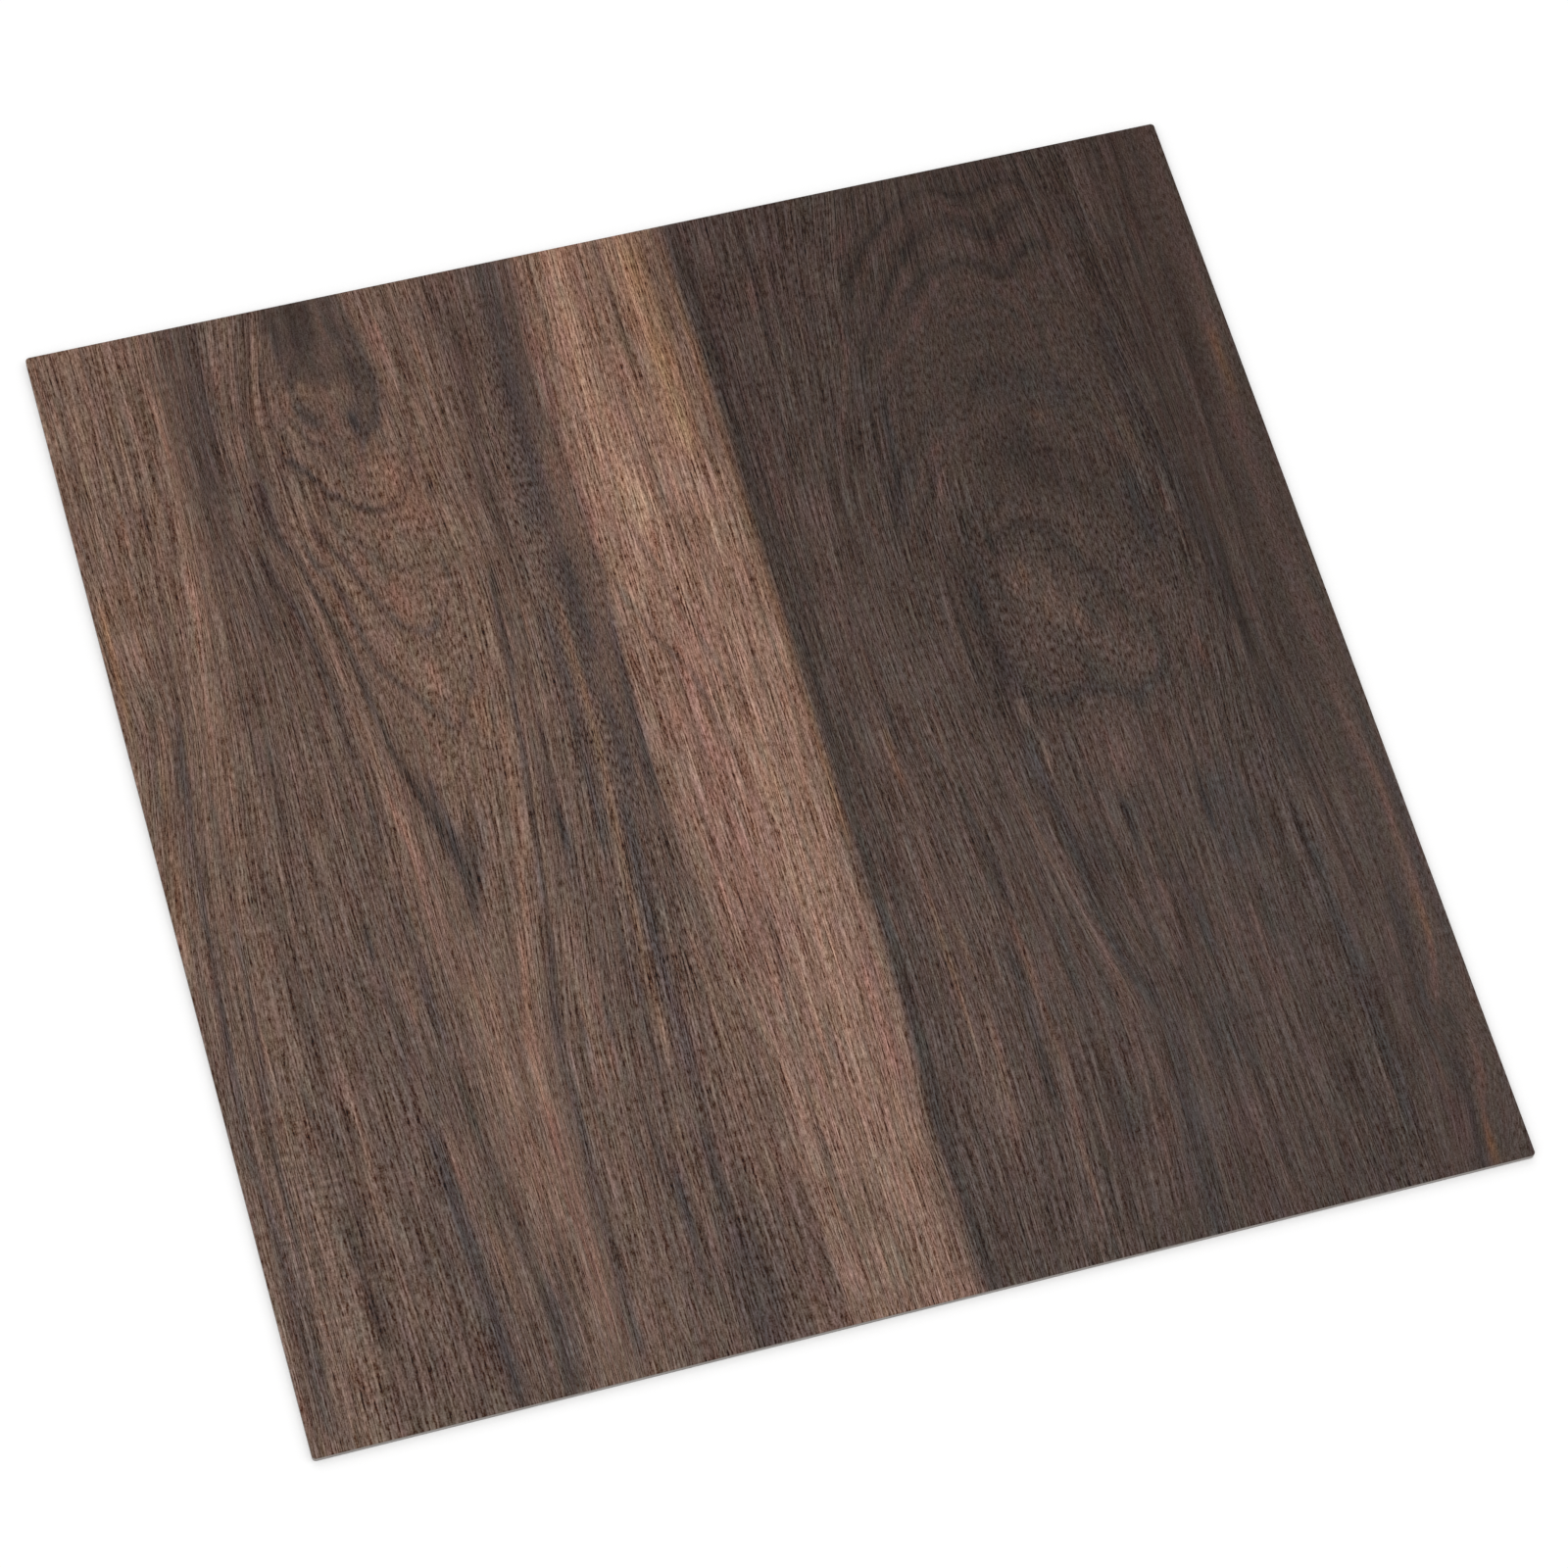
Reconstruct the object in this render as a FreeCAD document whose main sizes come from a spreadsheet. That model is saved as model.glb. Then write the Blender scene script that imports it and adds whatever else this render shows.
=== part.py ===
"""Vinyl floor tile: one flat square of solid vinyl, die-cut from sheet, with a printed wood top.

Millimetres. The tile lies face up on its back. The origin is the centre of the back, +X runs
along the front edge, across the grain, +Y runs along the grain to the far edge, and +Z is up.
"""

import FreeCAD
import Part

import os

import Sketcher

OUTPUT_FOLDER = "parts"

# Driving dimensions: alias, millimetres, what the size is.
SIZES = (
    ("tile_width", "304.8", "side to side, across the grain: one foot"),
    ("tile_length", "304.8", "front to far edge, along the grain: one foot"),
    ("tile_thickness", "2.0", "back to wear surface"),
    ("corner_radius", "1.0", "upright corners, as the cutting die leaves them"),
    ("arris_radius", "0.3", "upper edge, rolled over where the die enters the wear surface"),
)

# How a constraint names a line's ends and the sketch's origin.
LINE_START = 1
LINE_END = 2
SKETCH_ORIGIN = (-1, 1)


def make_sheet(doc):
    """The spreadsheet that every size is bound to."""
    sheet = doc.addObject("Spreadsheet::Sheet", "Sizes")
    for row, (alias, value, note) in enumerate(SIZES, start=1):
        sheet.set(f"A{row}", alias)
        sheet.set(f"B{row}", value)
        sheet.set(f"C{row}", note)
        sheet.setAlias(f"B{row}", alias)
    doc.recompute()
    return sheet


def origin_plane(body, role):
    """One of the body's own origin planes, found by its role."""
    return next(plane for plane in body.Origin.OriginFeatures if plane.Role == role)


def name_size(sketch, name, expression, *constraint):
    """Adds a named distance to the sketch and binds it to a size."""
    index = sketch.addConstraint(Sketcher.Constraint(*constraint))
    sketch.renameConstraint(index, name)
    sketch.setExpression(f"Constraints.{name}", expression)


def draw_outline(body, sheet):
    """The rectangle that the tile is cut to, centred on the origin in the plane of the back."""
    sketch = body.newObject("Sketcher::SketchObject", "Outline")
    sketch.AttachmentSupport = [(origin_plane(body, "XY_Plane"), "")]
    sketch.MapMode = "FlatFace"
    half_width = sheet.tile_width / 2
    half_length = sheet.tile_length / 2
    corners = [
        FreeCAD.Vector(-half_width, -half_length, 0),
        FreeCAD.Vector(half_width, -half_length, 0),
        FreeCAD.Vector(half_width, half_length, 0),
        FreeCAD.Vector(-half_width, half_length, 0),
    ]
    sides = []
    for start, end in zip(corners, corners[1:] + corners[:1]):
        sides.append(sketch.addGeometry(Part.LineSegment(start, end), False))
    for side, following in zip(sides, sides[1:] + sides[:1]):
        joined = ("Coincident", side, LINE_END, following, LINE_START)
        sketch.addConstraint(Sketcher.Constraint(*joined))
    front, right, far, left = sides
    for side, direction in (
        (front, "Horizontal"),
        (right, "Vertical"),
        (far, "Horizontal"),
        (left, "Vertical"),
    ):
        sketch.addConstraint(Sketcher.Constraint(direction, side))
    opposite_corners = (front, LINE_START, far, LINE_START)
    sketch.addConstraint(Sketcher.Constraint("Symmetric", *opposite_corners, *SKETCH_ORIGIN))
    across = ("DistanceX", front, LINE_START, front, LINE_END, sheet.tile_width)
    name_size(sketch, "width", "Sizes.tile_width", *across)
    along = ("DistanceY", right, LINE_START, right, LINE_END, sheet.tile_length)
    name_size(sketch, "length", "Sizes.tile_length", *along)
    return sketch


def pad_thickness(body, outline):
    """The sheet that the tile is cut from, up from the back to the wear surface."""
    pad = body.newObject("PartDesign::Pad", "Slab")
    pad.Profile = outline
    pad.setExpression("Length", "Sizes.tile_thickness")
    body.Document.recompute()
    return pad


def upright_edges(shape):
    """The four edges that run from the back to the top."""
    least_rise = shape.BoundBox.ZLength / 2
    return [
        f"Edge{number}"
        for number, edge in enumerate(shape.Edges, start=1)
        if edge.BoundBox.ZLength > least_rise
    ]


def top_face(shape):
    """The face that lies highest, which stands for the run of edges round it."""
    faces = list(enumerate(shape.Faces, start=1))
    number, _ = max(faces, key=lambda numbered: numbered[1].CenterOfMass.z)
    return [f"Face{number}"]


def round_edges(body, base, name, picked, size):
    """Rounds the picked edges, or those of a picked face, to one size of the sheet."""
    fillet = body.newObject("PartDesign::Fillet", name)
    fillet.Base = (base, picked)
    fillet.setExpression("Radius", f"Sizes.{size}")
    body.Document.recompute()
    return fillet


def make_tile(doc, sheet):
    """The tile: outline, thickness, cut corners and the rolled upper edge."""
    body = doc.addObject("PartDesign::Body", "VinylTile")
    body.Label = "vinyl_tile"
    doc.recompute()
    outline = draw_outline(body, sheet)
    doc.recompute()
    slab = pad_thickness(body, outline)
    cut = round_edges(body, slab, "CutCorners", upright_edges(slab.Shape), "corner_radius")
    round_edges(body, cut, "RolledArris", top_face(cut.Shape), "arris_radius")
    return body


def check(doc, bodies):
    """Stops the build if any object failed, or if a body isn't one valid closed solid."""
    for item in doc.Objects:
        failed = {"Invalid", "Error"} & set(item.State)
        if failed:
            raise RuntimeError(f"{item.Label} is {', '.join(sorted(failed))}")
    for body in bodies:
        shape = body.Shape
        if shape.isNull() or not shape.isValid() or len(shape.Solids) != 1:
            raise RuntimeError(f"{body.Label} isn't one valid solid")


def main():
    doc = FreeCAD.newDocument("VinylFloorTile")
    sheet = make_sheet(doc)
    bodies = [make_tile(doc, sheet)]
    doc.recompute()
    check(doc, bodies)
    os.makedirs(OUTPUT_FOLDER, exist_ok=True)
    for body in bodies:
        body.Shape.exportStep(os.path.join(OUTPUT_FOLDER, f"{body.Label}.step"))
        box = body.Shape.optimalBoundingBox()
        size = f"{box.XLength:.2f} x {box.YLength:.2f} x {box.ZLength:.2f} mm"
        print(f"{body.Label}: {size}, {body.Shape.Volume / 1000:.2f} cm3")


main()
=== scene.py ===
"""Looks of a vinyl floor tile: its walnut print, cut edge and plain back, with floor, lights and camera.

Blender works in metres. The figure of the wood is drawn in millimetres, as seen from above, with x to
the right along the front edge and y away from it, along the grain. Its lightness is the brightness of
the print on the usual scale of 0 to 255.
"""

import math

import bpy
import numpy as np
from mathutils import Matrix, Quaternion, Vector


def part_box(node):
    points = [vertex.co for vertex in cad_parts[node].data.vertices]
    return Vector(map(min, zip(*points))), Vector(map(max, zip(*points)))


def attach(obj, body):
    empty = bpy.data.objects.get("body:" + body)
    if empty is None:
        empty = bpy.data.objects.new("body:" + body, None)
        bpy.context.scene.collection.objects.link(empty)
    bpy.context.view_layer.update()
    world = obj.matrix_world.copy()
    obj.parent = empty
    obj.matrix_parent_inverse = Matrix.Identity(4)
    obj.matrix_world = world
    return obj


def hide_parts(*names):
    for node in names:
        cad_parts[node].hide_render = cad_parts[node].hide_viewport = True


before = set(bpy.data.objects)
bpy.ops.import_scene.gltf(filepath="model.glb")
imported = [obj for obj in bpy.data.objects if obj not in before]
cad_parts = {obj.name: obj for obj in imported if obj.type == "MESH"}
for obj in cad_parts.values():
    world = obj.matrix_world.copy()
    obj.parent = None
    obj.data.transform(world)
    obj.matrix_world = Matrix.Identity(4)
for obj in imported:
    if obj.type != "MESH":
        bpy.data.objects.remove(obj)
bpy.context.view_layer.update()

MM = 0.001
NODE = "vinyl_tile"

# The tile's cut, in millimetres: its sides and thickness come from the frame.
LOW_CORNER, HIGH_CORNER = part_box(NODE)
HALF_WIDTH = (HIGH_CORNER.x - LOW_CORNER.x) / 2 / MM
HALF_LENGTH = (HIGH_CORNER.y - LOW_CORNER.y) / 2 / MM
THICKNESS = (HIGH_CORNER.z - LOW_CORNER.z) / MM
CORNER_RADIUS = 1.0
ARRIS_RADIUS = 0.3
ARRIS_STEPS = 3

# Spacing of the top's mesh. Its rows are closer in the far half, where the figure is finest, and all
# of its lines close up near the edges, at these distances from them.
COLUMN_SPACING = 0.6
FINE_ROW_SPACING = 1.2
COARSE_ROW_SPACING = 4.5
FINE_ROWS_FROM = -12.0
EDGE_LINES = (0.0, 0.15, 0.35, 0.6)

# Pressed grain: how deep it goes, how far from the edge it takes to get there, its mean and swing as
# shares of the depth, and its waves, each with its size, patch width, patch length and seed.
EMBOSS_DEPTH = 0.05
EMBOSS_MARGIN = 2.0
EMBOSS_MIDDLE = 0.5
EMBOSS_SWING = 0.8
EMBOSS_WAVES = ((1.0, 2.6, 34.0, 3), (0.6, 1.3, 12.0, 4))

# The texture map: the top's share of each side, the margin beside it, the height of the strips for
# the cut edge, how many heights apart they lie, and the back's share.
TOP_SHARE = 0.945
STRIP_MARGIN = 0.005
STRIP_HEIGHT = 0.008
STRIP_PITCH = 1.4
BACK_SHARE = 0.04

# Lines that the grain follows, left to right: (y, x) pairs from the far edge to the front edge.
GRAIN_GUIDES = (
    ((152, -145), (60, -143), (40, -142), (20, -144.5), (0, -147.5), (-50, -151.5), (-152, -153)),
    ((152, -124.5), (100, -125), (60, -127.5), (30, -131), (0, -135), (-30, -137), (-152, -138)),
    ((152, -111), (120, -113), (90, -112), (60, -109.5), (-30, -108), (-90, -105), (-152, -103)),
    ((152, -93), (120, -99), (95, -99), (60, -96), (25, -93), (-20, -93), (-90, -92), (-152, -90)),
    ((152, -78), (60, -77), (0, -80), (-60, -80), (-152, -79)),
    ((152, -62), (100, -59), (60, -56), (25, -57.5), (0, -60), (-30, -64), (-60, -69), (-90, -71),
     (-152, -72.5)),
    ((152, -33), (110, -35), (20, -35), (-20, -37), (-50, -39), (-80, -41), (-152, -42)),
    ((152, -24), (110, -26.5), (-40, -26), (-70, -24.5), (-110, -23), (-152, -21)),
    ((152, -3), (-60, -3), (-152, -4)),
    ((152, 14.4), (130, 14.2), (110, 14.8), (100, 14.6), (80, 14.6), (20, 14.2), (-50, 13.6), (-70, 13.3),
     (-90, 12.2), (-108, 10.7), (-125, 11.4), (-152, 11.6)),
    ((152, 41), (100, 37), (60, 34), (0, 33), (-40, 35), (-80, 36), (-152, 34)),
    ((152, 62), (130, 57), (105, 53), (85, 49), (60, 46), (20, 45), (0, 46), (-50, 50), (-110, 49),
     (-152, 47)),
    ((152, 74), (100, 66), (60, 61), (0, 60), (-60, 64), (-90, 69), (-130, 68), (-152, 66)),
    ((152, 91), (0, 88), (-152, 88)),
    ((152, 117), (100, 120), (60, 123), (20, 122), (-40, 116), (-152, 116)),
    ((152, 135), (60, 134), (0, 131), (-80, 134), (-152, 131)),
    ((152, 148), (100, 147), (60, 145), (-60, 147), (-95, 145), (-110, 144), (-122, 146), (-152, 141)),
)

# Rings that the figure follows: value, whether it closes on itself, and points (x, y) in millimetres.
RINGS = (
    (-57, False, ((-152, 152), (-151, 100), (-152, 70))),
    (-49, False, ((-145, 152), (-143, 60), (-142, 40), (-144.5, 20), (-147.5, 0), (-151.5, -50))),
    (-31, False, ((-124.5, 152), (-125, 100), (-127.5, 60), (-131, 30), (-135, 0), (-137, -30),
                  (-138, -152))),
    (-18, False, ((-111, 152), (-113, 120), (-112, 90), (-109.5, 60), (-108, -30), (-105, -90),
                  (-103, -152))),
    (-6, False, ((-100, 152), (-105, 130), (-106, 105), (-104, 80), (-100.5, 50), (-98, 20), (-96, 0),
                 (-94, -25), (-92.5, -60), (-91, -100), (-90, -152))),
    (0, False, ((-96.5, 152), (-101, 126), (-101.5, 108), (-100, 88), (-97, 72), (-94.5, 56), (-92.3, 40),
                (-90, 25), (-87.5, 13), (-84, 0), (-81.3, -18), (-80.5, -29), (-78.6, -16), (-74.5, 0),
                (-70, 14), (-65, 28), (-61, 42), (-58, 60), (-57, 80), (-58, 110), (-60, 152))),
    (5, False, ((-95, 152), (-99.6, 126), (-99.8, 110), (-96.5, 92), (-92, 74), (-89, 58), (-86, 43),
                (-81, 36.5), (-77, 29.5), (-73.5, 22.5), (-70, 26), (-66.5, 35), (-62.5, 50), (-60.5, 68),
                (-60, 90), (-62, 125), (-63, 152))),
    (10, False, ((-94, 152), (-98.4, 126), (-97.5, 110), (-92.8, 90), (-88.5, 77), (-85, 68), (-81, 59),
                 (-77, 53.5), (-72.5, 51), (-68.5, 53.5), (-65.5, 62), (-63.3, 76), (-62.5, 95),
                 (-64, 125), (-65, 152))),
    (14, False, ((-93.2, 152), (-97.4, 126), (-95.5, 110), (-90, 93), (-85.5, 84), (-81, 77.5), (-77, 72),
                 (-73, 70.5), (-69.5, 75), (-66.6, 86), (-65, 100), (-66, 130), (-67, 152))),
    (19, False, ((-92.3, 152), (-96.2, 130), (-96.2, 118), (-94, 106), (-90, 97.5), (-84.5, 91.5),
                 (-79, 88.6), (-74, 87.5), (-69, 92), (-66.3, 101), (-65.7, 116), (-66.7, 135),
                 (-68, 152))),
    (26, False, ((-91, 152), (-93, 135), (-92, 122), (-88.5, 111.5), (-84, 106), (-79, 103), (-75, 103.5),
                 (-70.4, 110), (-68.2, 120), (-68.2, 135), (-69.6, 152))),
    (31, False, ((-88.5, 152), (-89, 135), (-86.5, 121), (-82, 112), (-77, 109), (-73, 113), (-71, 122),
                 (-71.6, 152))),
    (37, False, ((-84, 152), (-84, 137), (-82, 126), (-79, 119.5), (-76, 122), (-75, 135), (-75.5, 152))),
    (-1, False, ((-80.3, -40), (-80, -80), (-79, -152))),
    (-6, False, ((-57, 152), (-55, 100), (-54.6, 62), (-54.6, 45), (-56.5, 28), (-59.5, 8), (-61.5, -12),
                 (-64, -30), (-66.8, -46), (-69, -62), (-70.3, -80), (-71, -104), (-72, -152))),
    (-26, False, ((-33, 152), (-35, 110), (-35, 20), (-37, -20), (-39, -50), (-41, -80), (-42, -152))),
    (-34, False, ((-24, 152), (-26.5, 110), (-26.5, 50), (-26, -40), (-24.5, -70), (-23, -110),
                  (-21, -152))),
    (-37.5, False, ((-21, 152), (-23, 110), (-24, 75), (-23, 56), (-20, 43), (-16.5, 34), (-12.5, 27),
                    (-9.5, 19), (-8, 0), (-8.5, -30), (-10.5, -52), (-13, -70), (-14.5, -90),
                    (-15.3, -110), (-14.3, -126), (-12.5, -152))),
    (-46, False, ((-13, 152), (-16, 115), (-18, 90), (-17.2, 73), (-13.5, 60), (-10, 47), (-7, 34),
                  (-4, 22), (-1, 5), (0, -20), (-1.5, -60), (-5, -90), (-6.4, -115), (-4, -152))),
    (-58, False, ((1.5, 152), (0, 110), (0.8, 76), (4, 54), (5.5, 32), (5, 8), (5, -40), (4, -80),
                  (3, -152))),
    (-72, False, ((17, 152), (17.6, 125), (17.6, 80), (16, 0), (14.7, -40), (13.8, -70), (12.2, -90),
                  (10.7, -108), (11, -125), (11.2, -152))),
    (-90, False, ((41, 152), (37, 100), (34, 60), (33, 0), (35, -40), (36, -80), (34, -152))),
    (-104, False, ((62, 152), (57, 130), (53, 105), (49, 85), (46, 60), (45, 20), (46, 0), (50, -50),
                   (49, -110), (47, -152))),
    (-110, False, ((62, -152), (65, -110), (63, -80), (59, -50), (56, -20), (55, 0), (54, 40), (53.4, 70),
                   (53.6, 90), (55, 110), (62, 128), (66, 133.6), (74, 140), (86, 147), (95, 143),
                   (103, 144.6), (110, 144.4), (116, 141), (121, 128), (125, 105), (128, 60), (128, 20),
                   (127, -10), (124, -50), (122, -100), (122, -152))),
    (-116, False, ((67, -152), (70, -110), (68, -85), (64, -60), (60.5, -30), (58.5, 0), (57, 40),
                   (56.6, 70), (57, 88), (59.5, 104), (64, 112.6), (71, 123.4), (78, 130.6), (86, 136),
                   (91, 135), (97, 130.6), (104, 133.6), (111, 135.4), (116, 131), (120, 112), (123, 85),
                   (124.5, 50), (124, 20), (122, -15), (119, -50), (117.5, -152))),
    (-122, False, ((73, -152), (76, -115), (73.5, -88), (68.5, -58), (64, -27), (61.5, 0), (60, 30),
                   (60, 55), (61, 75), (63.5, 92), (69, 108), (75, 117), (82, 122.6), (88, 124.4),
                   (94, 121.6), (100, 118), (105, 121.4), (110, 123.8), (115, 118), (118, 100),
                   (120.5, 75), (121, 45), (120, 20), (118, -5), (114, -40), (112, -152))),
    (-128, False, ((64.5, 2), (64.6, 28), (68, 54), (74, 77), (80, 94), (88, 101), (97, 98), (105, 91),
                   (112, 75), (116, 50), (116, 20), (113.5, -8))),
    (-136, True, ((66, 20), (70, 37), (76, 47), (84, 53), (92, 52), (101, 43), (108, 30), (112, 15),
                  (111, 0), (107, -7), (101, -10), (93, -11), (84, -9.5), (76, -11), (69, -6),
                  (65.5, 6))),
    (-144, True, ((70.5, 22), (73, 32), (78, 39), (84, 42), (91, 38), (97, 30), (102, 19), (105.5, 8),
                  (105, 0), (101, -4), (93, -5), (85, -3.5), (77, -4.5), (72, 0), (70, 10))),
    (-152, True, ((75, 24), (77, 31), (81, 35), (86, 32), (91, 24), (96, 14), (99, 6), (97, 1), (90, 0),
                  (83, 3), (77, 8), (74.5, 15))),
    (-158, True, ((79, 25), (82, 27), (86, 20), (89, 12), (85, 9), (80, 15))),
    (-128, False, ((88, -70), (88, -152))),
    (-106, False, ((134, 152), (134, 60), (133, 30), (131, 0), (134, -80), (131, -152))),
    (-96, False, ((148, 152), (147, 100), (145, 40), (146, -20), (147, -60), (145, -95), (144, -110),
                  (146, -122), (143, -140), (141, -152))),
    (-92, False, ((153, 152), (152.5, 40), (153, -60), (152, -152))),
)

# Dark lines that follow a ring: its value, half width in millimetres and how much they darken.
RING_LINES = (
    (-6, 0.8, 0.10), (0, 0.8, 0.14), (5, 0.9, 0.15), (10, 0.9, 0.16), (14, 0.8, 0.12), (19, 1.0, 0.22),
    (26, 0.9, 0.12), (31, 0.9, 0.08), (-110, 1.5, 0.06), (-116, 1.5, 0.07), (-122, 1.5, 0.05),
    (-128, 1.5, 0.04),
)

# How far apart two readings of the ring lie that give the width of one ring value, and its most.
RING_STEP = 0.2
WIDEST_RING = 6.0

# Lightness across the grain, where nothing else is drawn: (grain line, lightness) pairs.
GROUND = (
    (-156, 97), (-148, 92), (-142, 90), (-136, 92), (-130, 93), (-125, 88), (-119, 82), (-111, 81),
    (-103, 81), (-97, 83), (-90, 89), (-80, 91), (-70, 92), (-62, 91), (-54, 84), (-46, 82), (-39, 79),
    (-32, 79), (-25.6, 82), (-24, 92), (-22.6, 100), (-18, 107), (-9, 109), (2, 111), (7.6, 110),
    (11.3, 101), (13.2, 94), (14.3, 82), (15.7, 70), (17.7, 68), (22, 67), (28, 70), (38, 69), (48, 70),
    (60, 67), (90, 66), (110, 66), (122, 61), (134, 62), (141, 61), (145, 66), (156, 66),
)

# The dark half: the grain line where it starts, how far on it is dark in full, and how its lightness
# changes from the far edge to the front edge, as (y, change) pairs.
DARK_HALF_START = 14.2
DARK_HALF_EDGE = 4
DARK_HALF_FADE = ((152, -9), (100, -7), (50, -4), (0, 0), (-50, 5), (-100, 5), (-152, 1))

# All of the print grows greyer towards the front edge: (y, red) and (y, gold) pairs.
RED_FADE = ((152, 0.4), (60, 0), (0, -0.4), (-60, -0.6), (-152, -0.6))
GOLD_FADE = ((152, 0.4), (60, 0), (0, -0.6), (-60, -1.6), (-152, -1.6))

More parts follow.
